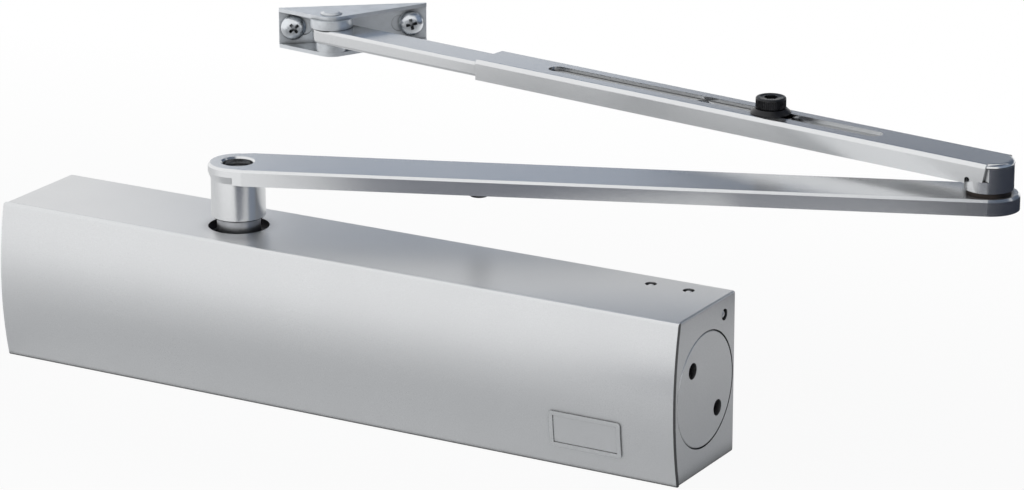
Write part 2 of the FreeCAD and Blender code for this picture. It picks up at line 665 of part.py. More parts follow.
def build_badge():
    body = new_body("badge", (f"{HALF_LENGTH} - badge_end_gap - badge_width / 2", "0", "0"))
    low, high = "(badge_middle - badge_height / 2)", "(badge_middle + badge_height / 2)"
    face = f"({FRONT_RADIUS} + badge_thickness)"
    sketch = new_sketch(body, "YZ_Plane")
    add_outline(sketch, band_outline(FRONT_RADIUS, face, low, high))
    plate = add_pad(body, sketch, "badge_width", centred=True)
    corners = edge_names(plate, lambda edge: abs(edge.Length - value("badge_thickness")) < 0.2)
    dress(body, "Fillet", plate, corners, "badge_corner", "Radius")
    sketch = new_sketch(body, "YZ_Plane")
    add_outline(sketch, band_outline(f"({face} - badge_recess)", f"({face} + badge_recess)",
                                     f"({low} + badge_rim)", f"({high} - badge_rim)"))
    add_pocket(body, sketch, "badge_width - 2 * badge_rim", centred=True)
    return body


# End plugs with their seal rings

def ring_section(radius):
    """Mean radius of a seal ring inside a bore of the given radius."""
    return f"({radius} - seal_section - seal_gap)"


def plug_profile(radius, length, seal_place, bevel):
    """Half section of a plug whose outer face is at zero, with its seal groove."""
    floor = f"({ring_section(radius)} - seal_section - seal_gap)"
    low, high = f"({seal_place} - seal_section - seal_gap)", f"({seal_place} + seal_section + seal_gap)"
    return [
        (f"-{length}", "0"), ("0", "0"), ("0", f"{radius} - {bevel}"), (f"-{bevel}", radius),
        (f"-{low}", radius), (f"-{low}", floor), (f"-{high}", floor), (f"-{high}", radius),
        (f"-{length}", radius),
    ]


def build_end_plug(label, side, turn):
    profile = plug_profile("plug_radius", "plug_length", "plug_seal_place", "plug_bevel")
    body = turned_lengthwise(label, (f"{side}{HALF_LENGTH}", "-bore_depth", "0"), profile, turn)
    sketch = new_sketch(body, "YZ_Plane")
    add_circle(sketch, ("-spanner_offset", "spanner_offset"), "spanner_hole_radius")
    add_circle(sketch, ("spanner_offset", "-spanner_offset"), "spanner_hole_radius")
    add_pocket(body, sketch, "spanner_hole_depth")
    return body


def build_seal_ring(label, place, radius, axis, section="seal_section"):
    """A round-section seal ring about X, Y or Z."""
    ring = doc.addObject("Part::Torus", label)
    ring.Label = label
    bind(ring, "Radius1", radius)
    bind(ring, "Radius2", section)
    turn = {"x": Vector(0, 1, 0), "y": Vector(1, 0, 0), "z": Vector(0, 0, 1)}[axis]
    ring.Placement.Rotation = FreeCAD.Rotation(turn, 0 if axis == "z" else 90)
    for letter, text in zip("xyz", place):
        bind(ring, f"Placement.Base.{letter}", text)
    doc.recompute()
    return ring


# Balls that close the oil drillings

def build_channel_balls():
    depth = "ball_radius + ball_sink"
    places = [
        (f"{HALF_LENGTH} - first_drilling", "-channel_depth", f"{HALF_HEIGHT} - ({depth})"),
        (f"{HALF_LENGTH} - second_drilling", "-channel_depth", f"{HALF_HEIGHT} - ({depth})"),
        (f"{HALF_LENGTH} - ({depth})", "-channel_depth", "channel_height"),
    ]
    balls = []
    for place in places:
        ball = doc.addObject("Part::Sphere", "ball")
        bind(ball, "Radius", "ball_radius")
        for letter, text in zip("xyz", place):
            bind(ball, f"Placement.Base.{letter}", text)
        balls.append(ball)
    group = doc.addObject("Part::Compound", "channel_balls")
    group.Label = "channel_balls"
    group.Links = balls
    doc.recompute()
    return group


# Bearings, shaft seal, retaining ring and lower cap

NEEDLE_RING = "(shaft_radius + needle_play + needle_radius)"


def build_bearing(label, low):
    inner = f"({NEEDLE_RING} + needle_radius + needle_play)"
    return turned_upright(label, SPINDLE, ring_profile(inner, "shaft_bore_radius - ring_clearance",
                                                       low, f"{low} + bearing_length"))


def build_needles(label, low):
    body = new_body(label, SPINDLE)
    sketch = new_sketch(body, "XY_Plane", f"{low} + ring_clearance")
    add_circle(sketch, (NEEDLE_RING, "0"), "needle_radius")
    needle = add_pad(body, sketch, "bearing_length - 2 * ring_clearance")
    finish_pattern(body, "PolarPattern", needle, (sketch, ["N_Axis"]), {"Angle": 360},
                   {"Occurrences": "needle_count"})
    return body


def build_retaining_ring():
    body = new_body("retaining_ring", SPINDLE)
    outer = "(shaft_bore_radius + clip_groove - ring_clearance)"
    inner = f"({outer} - clip_width)"
    ends = [(f"{radius} * cos(clip_gap / 2)", f"{side}{radius} * sin(clip_gap / 2)")
            for radius, side in ((outer, ""), (outer, "-"), (inner, "-"), (inner, ""))]
    sketch = new_sketch(body, "XY_Plane", "shaft_seal_place + shaft_seal_length + ring_clearance")
    add_outline(sketch, [ends[0] + ("0", "0", 1), ends[1], ends[2] + ("0", "0", -1), ends[3]])
    add_pad(body, sketch, "clip_thickness")
    return body


def build_bearing_cap():
    body = turned_upright("bearing_cap", SPINDLE[:2] + (f"-{HALF_HEIGHT}",), [
        (radius, f"-({length})") for length, radius in
        plug_profile("(shaft_bore_radius - ring_clearance)", "cap_length", "cap_seal_place", "plug_bevel")])
    sketch = new_sketch(body, "XY_Plane")
    for side in ("-", ""):
        add_circle(sketch, (f"{side}cap_hole_offset", "0"), "cap_hole_radius")
    add_pocket(body, sketch, "cap_length / 2", reverse=True)
    return body


# Regulating valves

def build_valve(label, place):
    body = new_body(label, (place, "-valve_start", "channel_height"))
    length = "(valve_end - valve_start)"
    low = "(valve_tip_length + valve_seal_section)"
    high = f"({low} + 2 * valve_seal_section + 2 * seal_gap)"
    floor = "(valve_radius + valve_play - 2 * valve_seal_section - 2 * seal_gap)"
    sketch = new_sketch(body, "XY_Plane")
    add_outline(sketch, [
        ("0", "0"), ("0", f"-{length}"), ("valve_radius", f"-{length}"), ("valve_radius", f"-{high}"),
        (floor, f"-{high}"), (floor, f"-{low}"), ("valve_radius", f"-{low}"),
        ("valve_radius", "-valve_tip_length"), ("valve_tip_radius", "0"),
    ])
    add_revolution(body, sketch, "V_Axis")
    sketch = new_sketch(body, "XZ_Plane", length)
    add_outline(sketch, box_corners("-valve_radius - 1", "valve_radius + 1",
                                    "-valve_slot / 2", "valve_slot / 2"))
    add_pocket(body, sketch, "valve_slot_depth")
    return body


# Pinion shaft with involute teeth, drawn from the sheet's values

def involute_point(base, radius):
    """Polar angle of an involute at a radius, from where it leaves the base circle."""
    slope = math.sqrt((radius / base) ** 2 - 1)
    return slope - math.atan(slope)


def polar(radius, angle, height):
    return Vector(radius * math.cos(angle), radius * math.sin(angle), height)


def pinion_teeth():
    """Prism of the toothed part, one tooth pointing along +Y."""
    teeth = int(value("gear_teeth"))
    pitch, tip, width = value(PITCH_RADIUS), value(GEAR_TIP), value("gear_width")
    root = pitch - value("gear_dedendum * gear_module")
    base = pitch * math.cos(math.radians(value("gear_angle")))
    half_tooth = math.pi / (2 * teeth) - value("gear_backlash") / (4 * pitch) + involute_point(base, pitch)
    middle_radius = (base + tip) / 2
    edges = []
    for number in range(teeth):
        axis = math.pi / 2 + number * 2 * math.pi / teeth
        following = axis + 2 * math.pi / teeth
        flanks = []
        for side in (-1, 1):
            flanks.append([
                polar(radius, axis + side * (half_tooth - involute_point(base, radius)), -width / 2)
                for radius in (base, middle_radius, tip)])
        foot_right = polar(root, axis - half_tooth, -width / 2)
        foot_left = polar(root, axis + half_tooth, -width / 2)
        next_foot = polar(root, following - half_tooth, -width / 2)
        right, left = flanks
        edges.append(Part.LineSegment(foot_right, right[0]).toShape())
        edges.append(Part.Arc(right[0], right[1], right[2]).toShape())
        edges.append(Part.Arc(right[2], polar(tip, axis, -width / 2), left[2]).toShape())
        edges.append(Part.Arc(left[2], left[1], left[0]).toShape())
        edges.append(Part.LineSegment(left[0], foot_left).toShape())
        valley = polar(root, (axis + following) / 2, -width / 2)
        edges.append(Part.Arc(foot_left, valley, next_foot).toShape())
    return Part.Face(Part.Wire(edges)).extrude(Vector(0, 0, width))


def build_pinion_shaft():
    radius, low, top = value("shaft_radius"), -value("shaft_lower_end"), value("shaft_top")
    width, shoulder = value("square_width"), value("shaft_round_end")
    shaft = Part.makeCylinder(radius, shoulder - low, Vector(0, 0, low))
    square = Part.makeBox(width, width, top - shoulder, Vector(-width / 2, -width / 2, shoulder))
    square.rotate(Vector(), Vector(0, 0, 1), value("arm_angle"))
    square = square.common(Part.makeCylinder(radius, top - shoulder, Vector(0, 0, shoulder)))
    thread = value("arm_screw_radius + thread_clearance")
    depth = value(f"shaft_top - {RECESS_FLOOR} - arm_washer_thickness"
                  " + arm_screw_length + 1.5 * arm_screw_radius")
    solid = shaft.fuse([square, pinion_teeth()]).removeSplitter()
    solid = solid.cut(Part.makeCylinder(thread, depth, Vector(0, 0, top - depth)))
    shaft_piece = doc.addObject("Part::Feature", "pinion_shaft")
    shaft_piece.Label = "pinion_shaft"
    shaft_piece.Shape = solid
    for letter, text in zip("xyz", SPINDLE):
        bind(shaft_piece, f"Placement.Base.{letter}", text)
    doc.recompute()
    return shaft_piece


# Piston with the rack in its window

def build_piston():
    radius = "(bore_radius - piston_play)"
    floor = f"({radius} - piston_seal_depth)"
    seal = f"({PISTON_LEFT} + piston_seal_place)"
    pilot = f"({PISTON_RIGHT} + spring_pilot_length)"
    body = turned_lengthwise("piston", SPINDLE, [
        (PISTON_LEFT, "0"), (pilot, "0"),
        (pilot, "spring_pilot_radius"), (PISTON_RIGHT, "spring_pilot_radius"),
        (PISTON_RIGHT, f"{radius} - piston_bevel"), (f"{PISTON_RIGHT} - piston_bevel", radius),
        (f"{seal} + piston_seal_width", radius), (f"{seal} + piston_seal_width", floor),
        (seal, floor), (seal, radius), (f"{PISTON_LEFT} + piston_bevel", radius),
        (PISTON_LEFT, f"{radius} - piston_bevel"),
    ])
    sketch = new_sketch(body, "XY_Plane")
    add_outline(sketch, box_corners(WINDOW_LEFT, WINDOW_RIGHT, f"-{WINDOW_RIGHT}", RACK_TIP))
    add_pocket(body, sketch, "2 * bore_radius + 2", centred=True)
    for side, reverse in (("", True), ("-", False)):
        sketch = new_sketch(body, "XY_Plane", f"{side}(gear_width / 2 + window_relief)")
        add_outline(sketch, box_corners(WINDOW_LEFT, WINDOW_RIGHT, f"{RACK_TIP} - 1", "relief_reach"))
        add_pocket(body, sketch, "bore_radius", reverse=reverse)

    sketch = new_sketch(body, "XY_Plane")
    add_outline(sketch, rack_gap())
    gap = add_pocket(body, sketch, "gear_width + 2 * window_relief", centred=True)
    finish_pattern(body, "LinearPattern", gap, (sketch, ["H_Axis"]), {"Reversed": True}, {
        "Length": f"(floor({TRAVEL} / {RACK_PITCH} + 0.01) + 2) * {RACK_PITCH}",
        "Occurrences": f"floor({TRAVEL} / {RACK_PITCH} + 0.01) + 3",
    })

    sketch = new_sketch(body, "YZ_Plane", PISTON_LEFT)
    add_circle(sketch, ("0", "0"), "check_chamber_radius")
    add_pocket(body, sketch, "check_chamber_depth", reverse=True)
    sketch = new_sketch(body, "YZ_Plane", PISTON_LEFT)
    add_circle(sketch, ("0", "0"), "oil_hole_radius")
    add_pocket(body, sketch, "piston_head + 1", reverse=True)
    sketch = new_sketch(body, "YZ_Plane", pilot)
    add_circle(sketch, ("0", "0"), "oil_hole_radius")
    add_pocket(body, sketch, "piston_head + spring_pilot_length + 1")
    return body


def rack_gap():
    """Outline of the rack's first gap, one pitch right of the pinion."""
    corners = []
    beyond = f"({RACK_TIP} - 0.5)"
    for side, level in (("-", beyond), ("+", beyond), ("+", RACK_ROOT), ("-", RACK_ROOT)):
        half = f"({RACK_PITCH} / 4 + gear_backlash / 4 + ({PITCH_RADIUS} - {level}) * tan(gear_angle))"
        corners.append((f"{RACK_PITCH} {side} {half}", level))
    return corners


def build_check_ball():
    ball = doc.addObject("Part::Sphere", "check_ball")
    ball.Label = "check_ball"
    bind(ball, "Radius", "check_ball_radius")
    seat = f"({PISTON_LEFT} + check_chamber_depth)"
    bind(ball, "Placement.Base.x",
         f"{SPINDLE[0]} + {seat} - sqrt(check_ball_radius^2 - oil_hole_radius^2) - ring_clearance")
    bind(ball, "Placement.Base.y", SPINDLE[1])
    doc.recompute()
    return ball


def build_check_ring():
    outer = "(check_chamber_radius - ring_clearance)"
    return turned_lengthwise("check_ring", SPINDLE, [
        (PISTON_LEFT, "oil_hole_radius"), (f"{PISTON_LEFT} + check_ring_length", "oil_hole_radius"),
        (f"{PISTON_LEFT} + check_ring_length", outer), (PISTON_LEFT, outer)])


def build_piston_seal():
    low = f"({PISTON_LEFT} + piston_seal_place + ring_clearance)"
    high = f"({PISTON_LEFT} + piston_seal_place + piston_seal_width - ring_clearance)"
    inner = "(bore_radius - piston_play - piston_seal_depth + ring_clearance)"
    outer = "(bore_radius - piston_play / 2)"
    return turned_lengthwise("piston_seal", SPINDLE, [
        (low, inner), (high, inner), (high, outer), (low, outer)])


# Main spring: one unbroken coil on arcs, and its seat

def spring_arcs(start, way, stop, stop_way):
    """Two arcs that join a point and direction to the next."""
    chord = stop - start
    mean = way + stop_way
    lead = chord.dot(mean)
    rest = 2 * (1 - way.dot(stop_way))
    reach = (math.sqrt(lead ** 2 + rest * chord.dot(chord)) - lead) / rest
    near, far = start + way * reach, stop - stop_way * reach
    joint = (near + far) * 0.5
    return [arc_by_tangents(start, near, joint), arc_by_tangents(joint, far, stop)]


def arc_by_tangents(start, corner, stop):
    """The arc that touches both legs of a corner at its ends."""
    middle = (start + stop) * 0.5
    half, height = (stop - start).Length / 2, (corner - middle).Length
    radius = (corner - start).Length * half / height
    rise = radius - math.sqrt(radius ** 2 - half ** 2)
    return Part.Arc(start, middle + (corner - middle) * (rise / height), stop).toShape()


def build_main_spring():
    wire, mean = value("spring_wire"), value("spring_radius")
    low = value(f"{PISTON_RIGHT} + spring_end_gap") + wire / 2
    high = value(f"{SEAT_FACE} - spring_end_gap") - wire / 2
    turns = int(value("spring_turns"))
    quarters = 4 * turns
    step = (high - low) / quarters
    pitch_gap = 4 * step - wire
    print(f"main spring: gap between turns {pitch_gap:.2f} mm")

    def point(number):
        angle = number * math.pi / 2
        return Vector(low + number * step, mean * math.cos(angle), mean * math.sin(angle))

    def direction(number):
        angle = number * math.pi / 2
        around = mean * math.pi / 2
        return Vector(step, -around * math.sin(angle), around * math.cos(angle)).normalize()

    edges = []
    for number in range(quarters):
        edges += spring_arcs(point(number), direction(number), point(number + 1), direction(number + 1))
    circle = Part.Wire(Part.Circle(point(0), direction(0), wire / 2).toShape())
    coil = Part.Wire(edges).makePipeShell([circle], True, False)
    spring = doc.addObject("Part::Feature", "main_spring")
    spring.Label = "main_spring"
    spring.Shape = coil
    for letter, text in zip("xyz", SPINDLE):
        bind(spring, f"Placement.Base.{letter}", text)
    doc.recompute()
    return spring


def build_spring_seat():
    pilot = f"({SEAT_FACE} - spring_pilot_length)"
    return turned_lengthwise("spring_seat", SPINDLE, [
        (pilot, "0"), (PLUG_INNER, "0"), (PLUG_INNER, "seat_radius"), (SEAT_FACE, "seat_radius"),
        (SEAT_FACE, "spring_pilot_radius"), (pilot, "spring_pilot_radius")])


# Main arm with its hub, screw, buffer and knuckle bush

BUSH_OUTER = "(pin_radius + pin_play + bush_wall)"


def build_main_arm():
    body = new_body("main_arm", SPINDLE, "arm_angle")
    sketch = new_sketch(body, "XY_Plane", ARM_BOTTOM)
    root, tip = "(arm_root_width / 2)", "(arm_tip_width / 2)"
    add_outline(sketch, [
        ("0", "arm_hub_radius", "0", "0", 1), ("0", "-arm_hub_radius"), ("arm_flare", f"-{root}"),
        ("arm_length", f"-{tip}", "arm_length", "0", 1), ("arm_length", tip), ("arm_flare", root),
    ])
    plate = add_pad(body, sketch, "arm_thickness")
    rim = edge_names(plate, lambda edge: on_level(edge, "z", value(ARM_TOP)))
    dress(body, "Chamfer", plate, rim, "arm_bevel", "Size")
    sketch = new_sketch(body, "YZ_Plane")
    add_outline(sketch, [
        ("boss_radius", ARM_BOTTOM), ("arm_hub_radius", f"{ARM_BOTTOM} + hub_taper_height"),
        ("arm_root_width", f"{ARM_BOTTOM} + hub_taper_height"), ("arm_root_width", ARM_BOTTOM),
    ])
    add_groove(body, sketch, "V_Axis", 180)

    sketch = new_sketch(body, "XZ_Plane")
    add_outline(sketch, [
        ("0", BOSS_FOOT), ("boss_radius - boss_bevel", BOSS_FOOT),
        ("boss_radius", f"{BOSS_FOOT} + boss_bevel"),
        ("boss_radius", ARM_BOTTOM), ("boss_radius - boss_bevel", f"{ARM_BOTTOM} + boss_bevel"),
        ("0", f"{ARM_BOTTOM} + boss_bevel"),
    ])
    add_revolution(body, sketch, "V_Axis")

    recess, bevel = "hub_recess_radius", "hub_recess_bevel"
    hole, bore = "(arm_screw_radius + arm_screw_clearance)", "(shaft_radius + square_play)"
    socket = "(shaft_top + hinge_gap)"
    step = "(shaft_round_end + hinge_gap)"
    sketch = new_sketch(body, "XZ_Plane")
    add_outline(sketch, [
        ("0", f"{BOSS_FOOT} - 1"), (bore, f"{BOSS_FOOT} - 1"), (bore, step),
        (hole, step), (hole, RECESS_FLOOR),
        (recess, RECESS_FLOOR), (recess, f"{ARM_TOP} - {bevel}"), (f"{recess} + {bevel}", ARM_TOP),
        (f"{recess} + {bevel}", f"{ARM_TOP} + 1"), ("0", f"{ARM_TOP} + 1"),
    ])
    add_groove(body, sketch, "V_Axis")
    sketch = new_sketch(body, "XY_Plane", "shaft_round_end")
    half = "(square_width / 2 + square_play)"
    add_outline(sketch, box_corners(f"-{half}", half, f"-{half}", half))
    add_pocket(body, sketch, f"{socket} - shaft_round_end", reverse=True)

    sketch = new_sketch(body, "XY_Plane", ARM_TOP)
    add_circle(sketch, ("arm_length", "0"), f"{BUSH_OUTER} + ring_clearance")
    add_pocket(body, sketch, "arm_thickness + 1")
    sketch = new_sketch(body, "XY_Plane", ARM_BOTTOM)
    add_circle(sketch, ("buffer_place", "0"), "buffer_pin_radius + ring_clearance")
    add_pocket(body, sketch, "buffer_pin_length + ring_clearance", reverse=True)
    return body


def socket_screw(label, place, head_radius, head_height, shank_radius, shank_length, bevel, low):
    """A turned screw with a hexagon socket; low is the level under its head."""
    body = turned_upright(label, place, [
        ("0", f"{low} - {shank_length}"), (shank_radius, f"{low} - {shank_length}"), (shank_radius, low),
        (head_radius, low), (head_radius, f"{low} + {head_height} - {bevel}"),
        (f"{head_radius} - {bevel}", f"{low} + {head_height}"), ("0", f"{low} + {head_height}"),
    ])
    sketch = new_sketch(body, "XY_Plane", f"{low} + {head_height}")
    across = "(hex_width / sqrt(3))"
    add_outline(sketch, [(f"{across} * cos({60 * number})", f"{across} * sin({60 * number})")
                         for number in range(6)])
    add_pocket(body, sketch, "hex_depth")
    return body


def build_arm_screw():
    return socket_screw("arm_screw", SPINDLE, "arm_screw_head_radius", "arm_screw_head_height",
                        "arm_screw_radius", "arm_screw_length", "boss_bevel",
                        f"({RECESS_FLOOR} + arm_washer_thickness)")


def build_arm_washer():
    inner = "(arm_screw_radius + arm_screw_clearance)"
    return turned_upright("arm_washer", SPINDLE, ring_profile(
        inner, "arm_washer_radius", RECESS_FLOOR, f"{RECESS_FLOOR} + arm_washer_thickness"))


def along_arm(distance):
    """A point on the main arm's middle line."""
    return (f"{SPINDLE_X} + {distance} * cos(arm_angle)", f"{distance} * sin(arm_angle) - bore_depth", "0")


def build_arm_buffer():
    edge = "(buffer_radius / 3)"
    return turned_upright("arm_buffer", along_arm("buffer_place"), [
        ("0", f"{ARM_BOTTOM} - buffer_height"),
        (f"buffer_radius - {edge}", f"{ARM_BOTTOM} - buffer_height"),
        ("buffer_radius", f"{ARM_BOTTOM} - buffer_height + {edge}"), ("buffer_radius", ARM_BOTTOM),
        ("buffer_pin_radius", ARM_BOTTOM), ("buffer_pin_radius", f"{ARM_BOTTOM} + buffer_pin_length"),
        ("0", f"{ARM_BOTTOM} + buffer_pin_length"),
    ])


def build_knuckle_bush():
    inner = "(pin_radius + pin_play)"
    return turned_upright("knuckle_bush", KNUCKLE, [
        (inner, ARM_BOTTOM), (BUSH_OUTER, ARM_BOTTOM), (BUSH_OUTER, ARM_TOP),
        ("bush_flange_radius", ARM_TOP), ("bush_flange_radius", f"{ARM_TOP} + bush_flange"),
        (inner, f"{ARM_TOP} + bush_flange"),
    ])


# Forearm: knuckle post, channel and sliding rod

WASHER_TOP = f"({ARM_BOTTOM} - hinge_gap)"
RIVET_TOP = f"({WASHER_TOP} - post_washer_thickness)"
FLANGE_STEP = f"({CHANNEL_BOTTOM} + flange_step)"


def build_knuckle_post():
    body = turned_upright("knuckle_post", KNUCKLE, [
        ("0", f"{RIVET_TOP} - rivet_height"), ("rivet_radius / 2", f"{RIVET_TOP} - rivet_height"),
        ("rivet_radius", f"{RIVET_TOP} - rivet_height / 2"), ("rivet_radius", RIVET_TOP),
        ("pin_radius", RIVET_TOP), ("pin_radius", POST_FOOT), ("post_radius", POST_FOOT),
        ("post_radius", f"{CEILING} - post_bevel"), ("post_radius - post_bevel", CEILING), ("0", CEILING),
    ], "forearm_angle")
    flat, beyond = "(channel_width / 2 - channel_wall - post_flat_play)", "(post_radius + 1)"
    sketch = new_sketch(body, "XY_Plane", FLANGE_STEP)
    add_outline(sketch, box_corners(f"-{beyond}", beyond, flat, beyond))
    add_outline(sketch, box_corners(f"-{beyond}", beyond, f"-{beyond}", f"-{flat}"))
    add_pocket(body, sketch, "channel_rise", reverse=True)
    return body


def build_post_washer():
    return turned_upright("post_washer", KNUCKLE, ring_profile(
        "pin_radius + ring_clearance", "post_washer_radius", RIVET_TOP, WASHER_TOP))


def build_forearm_channel():
    body = new_body("forearm_channel", KNUCKLE, "forearm_angle")
    half, wall, round_, start = "(channel_width / 2)", "channel_wall", "channel_rounding", "channel_start"
    flat = f"({half} - {round_})"
    edge = f"({flat} + sqrt({round_}^2 - ({round_} - {wall})^2))"
    sketch = new_sketch(body, "XZ_Plane")
    add_outline(sketch, [
        ("0", CEILING), ("0", CHANNEL_TOP),
        (f"-{flat}", CHANNEL_TOP, f"-{flat}", f"{CHANNEL_TOP} - {round_}", 1), (f"-{edge}", CEILING),
    ])
    add_revolution(body, sketch, "V_Axis", f"2 * acos(-({start} + {wall}) / {half})")

    sketch = new_sketch(body, "YZ_Plane", start)
    add_outline(sketch, [
        (f"-{half}", CHANNEL_BOTTOM), (f"{wall} - {half}", CHANNEL_BOTTOM), (f"{wall} - {half}", CEILING),
        (f"{half} - {wall}", CEILING), (f"{half} - {wall}", CHANNEL_BOTTOM), (half, CHANNEL_BOTTOM),
        (half, f"{CHANNEL_TOP} - {round_}", f"{half} - {round_}", f"{CHANNEL_TOP} - {round_}", 1),
        (f"{half} - {round_}", CHANNEL_TOP),
        (f"{round_} - {half}", CHANNEL_TOP, f"{round_} - {half}", f"{CHANNEL_TOP} - {round_}", 1),
        (f"-{half}", f"{CHANNEL_TOP} - {round_}"),
    ])
    add_pad(body, sketch, f"channel_end - {start}")
    sketch = new_sketch(body, "XY_Plane", CEILING)
    add_outline(sketch, slot_corners("slot_start", "slot_end", "0", "(slot_width / 2)"))
    add_pocket(body, sketch, "channel_rise", reverse=True)
    notch, below = f"({start} + relief_notch_place)", f"({CHANNEL_BOTTOM} - 1)"
    sketch = new_sketch(body, "XZ_Plane")
    add_outline(sketch, [
        (f"{start} - 1", below), (f"{notch} + relief_notch", below),
        (f"{notch} + relief_notch", FLANGE_STEP, notch, FLANGE_STEP, 1),
        (f"{notch} - relief_notch", FLANGE_STEP), (f"{start} + flange_slant", FLANGE_STEP),
        (start, CEILING), (f"{start} - 1", f"{CEILING} - 1"),
    ])
    add_pocket(body, sketch, "2 * channel_width", centred=True)
    return body


def build_forearm_rod():
    body = new_body("forearm_rod", KNUCKLE, "forearm_angle")
    half = "(rod_width / 2)"
    sketch = new_sketch(body, "XY_Plane", ROD_BOTTOM)
    eye = "rod_eye_radius"
    add_outline(sketch, [
        ("rod_inner_end", f"-{half}"), ("forearm_length", f"-{half}", "forearm_length", "0", 1),
        ("forearm_length", half), ("rod_inner_end", half),
    ] if abs(value(eye) - value(half)) < 1e-6 else [
        ("rod_inner_end", f"-{half}"), (f"forearm_length - {eye}", f"-{half}"),
        ("forearm_length", f"-{eye}", "forearm_length", "0", 1), ("forearm_length", eye),
        (f"forearm_length - {eye}", half), ("rod_inner_end", half),
    ])
    bar = add_pad(body, sketch, "rod_thickness")
    rims = edge_names(bar, lambda edge: on_level(edge, "z", value(ROD_TOP))
                      or on_level(edge, "z", value(ROD_BOTTOM)))
    dress(body, "Fillet", bar, rims, "rod_rounding", "Radius")
    for place, radius in (("forearm_length", "bracket_pin_radius + pin_play"),
                          ("clamp_place", "clamp_radius + pin_play"),
                          ("spare_hole_place", "clamp_radius + pin_play")):
        sketch = new_sketch(body, "XY_Plane", ROD_TOP)
        add_circle(sketch, (place, "0"), radius)
        add_pocket(body, sketch, "rod_thickness + 1")
    return body


def along_forearm(distance):
    """A point on the forearm's middle line."""
    return (f"{KNUCKLE_X} + {distance} * cos(forearm_angle)",
            f"{KNUCKLE_Y} + {distance} * sin(forearm_angle)", "0")


CLAMP_FOOT = f"({CHANNEL_TOP} + hinge_gap)"
CLAMP_HEAD = f"({CLAMP_FOOT} + clamp_washer_height)"


def build_clamp_washer():
    return turned_upright("clamp_washer", along_forearm("clamp_place"), [
        ("clamp_radius + pin_play", CLAMP_FOOT), ("clamp_washer_radius", CLAMP_FOOT),
        ("clamp_washer_radius", f"{CLAMP_FOOT} + clamp_washer_edge"),
        ("clamp_washer_top", CLAMP_HEAD), ("clamp_radius + pin_play", CLAMP_HEAD),
    ])


def build_clamp_screw():
    seat = f"({CLAMP_HEAD} + hinge_gap)"
    return socket_screw("clamp_screw", along_forearm("clamp_place"), "clamp_head_radius",
                        "clamp_head_height", "clamp_radius", f"({seat} - {ROD_BOTTOM})",
                        "clamp_head_bevel", seat)


# Frame bracket with its pin, bushes and screws

def build_frame_bracket():
    body = new_body("frame_bracket", PIVOT, "bracket_angle")
    back, sheet_, bend = "bracket_reach", "bracket_sheet", "bracket_bend"
    front = "(-lug_radius - 1)"
    inside = f"({back} - {sheet_})"
    sketch = new_sketch(body, "YZ_Plane", "-bracket_left")
    add_outline(sketch, [
        (front, BRACKET_BOTTOM),
        (f"{back} - {bend}", BRACKET_BOTTOM, f"{back} - {bend}", f"{BRACKET_BOTTOM} + {bend}", 1),
        (back, f"{BRACKET_BOTTOM} + {bend}"),
        (back, f"{BRACKET_TOP} - {bend}", f"{back} - {bend}", f"{BRACKET_TOP} - {bend}", 1),
        (f"{back} - {bend}", BRACKET_TOP), (front, BRACKET_TOP), (front, LUG_UNDERSIDE),
        (inside, LUG_UNDERSIDE), (inside, LOWER_LUG_TOP), (front, LOWER_LUG_TOP),
    ])
    add_pad(body, sketch, "bracket_left + bracket_right")

    start = f"({inside} - {sheet_} / 2)"
    left, right = lug_tangent("-bracket_left", start), lug_tangent("bracket_right", start)
    outside_left, outside_right, beyond = "(-bracket_left - 1)", "(bracket_right + 1)", "(-lug_radius - 2)"
    sketch = new_sketch(body, "XY_Plane", f"{BRACKET_BOTTOM} - 1")
    add_outline(sketch, [
        (outside_left, start), (outside_left, beyond), (outside_right, beyond), (outside_right, start),
        ("bracket_right", start), right + ("0", "0", -1), left, ("-bracket_left", start),
    ])
    add_pocket(body, sketch, "bracket_height + 2", reverse=True)

    sketch = new_sketch(body, "XY_Plane", f"{BRACKET_TOP} + 1")
    add_circle(sketch, ("0", "0"), "bracket_pin_radius + ring_clearance")
    add_pocket(body, sketch, "bracket_height + 2")
    sketch = new_sketch(body, "XZ_Plane", f"-({inside} - 1)")
    level = f"({BRACKET_TOP} - bracket_height / 2)"
    for side in "-+":
        add_circle(sketch, (f"screw_middle {side} screw_spacing / 2", level), "screw_slot_width / 2")
    add_pocket(body, sketch, "bracket_sheet + 2")
    sketch = new_sketch(body, "XZ_Plane", f"-({inside} + screw_slot_depth)")
    for middle in ("(screw_middle - screw_spacing / 2 + screw_slot_shift)",
                   "(screw_middle + screw_spacing / 2 - screw_slot_shift)"):
        add_outline(sketch, slot_corners(f"({middle} - screw_slot_length / 2)",
                                         f"({middle} + screw_slot_length / 2)",
                                         level, "(screw_slot_width / 2)"))
    add_pocket(body, sketch, "screw_slot_depth + 1", reverse=True)
    return body


def lug_tangent(end, start):
    """Where a straight lug edge from (end, start) touches the lug's round end."""
    side = "-" if end.startswith("-") else "+"
    reach = f"hypot({end}; {start})"
    angle = f"(atan2({start}; {end}) {'+' if side == '-' else '-'} acos(lug_radius / {reach}))"
    return (f"(lug_radius * cos({angle}))", f"(lug_radius * sin({angle}))")


def build_bracket_pin():
    low, high = f"({BRACKET_BOTTOM} - pin_head_height)", f"({BRACKET_TOP} + pin_head_height)"
    crown = "(pin_head_radius * 0.7)"
    return turned_upright("bracket_pin", PIVOT, [
        ("0", low), (crown, low), ("pin_head_radius", f"{BRACKET_BOTTOM} - pin_head_height / 3"),
        ("pin_head_radius", BRACKET_BOTTOM), ("bracket_pin_radius", BRACKET_BOTTOM),
        ("bracket_pin_radius", BRACKET_TOP), ("pin_head_radius", BRACKET_TOP),
        ("pin_head_radius", f"{BRACKET_TOP} + pin_head_height / 3"), (crown, high), ("0", high),
    ])


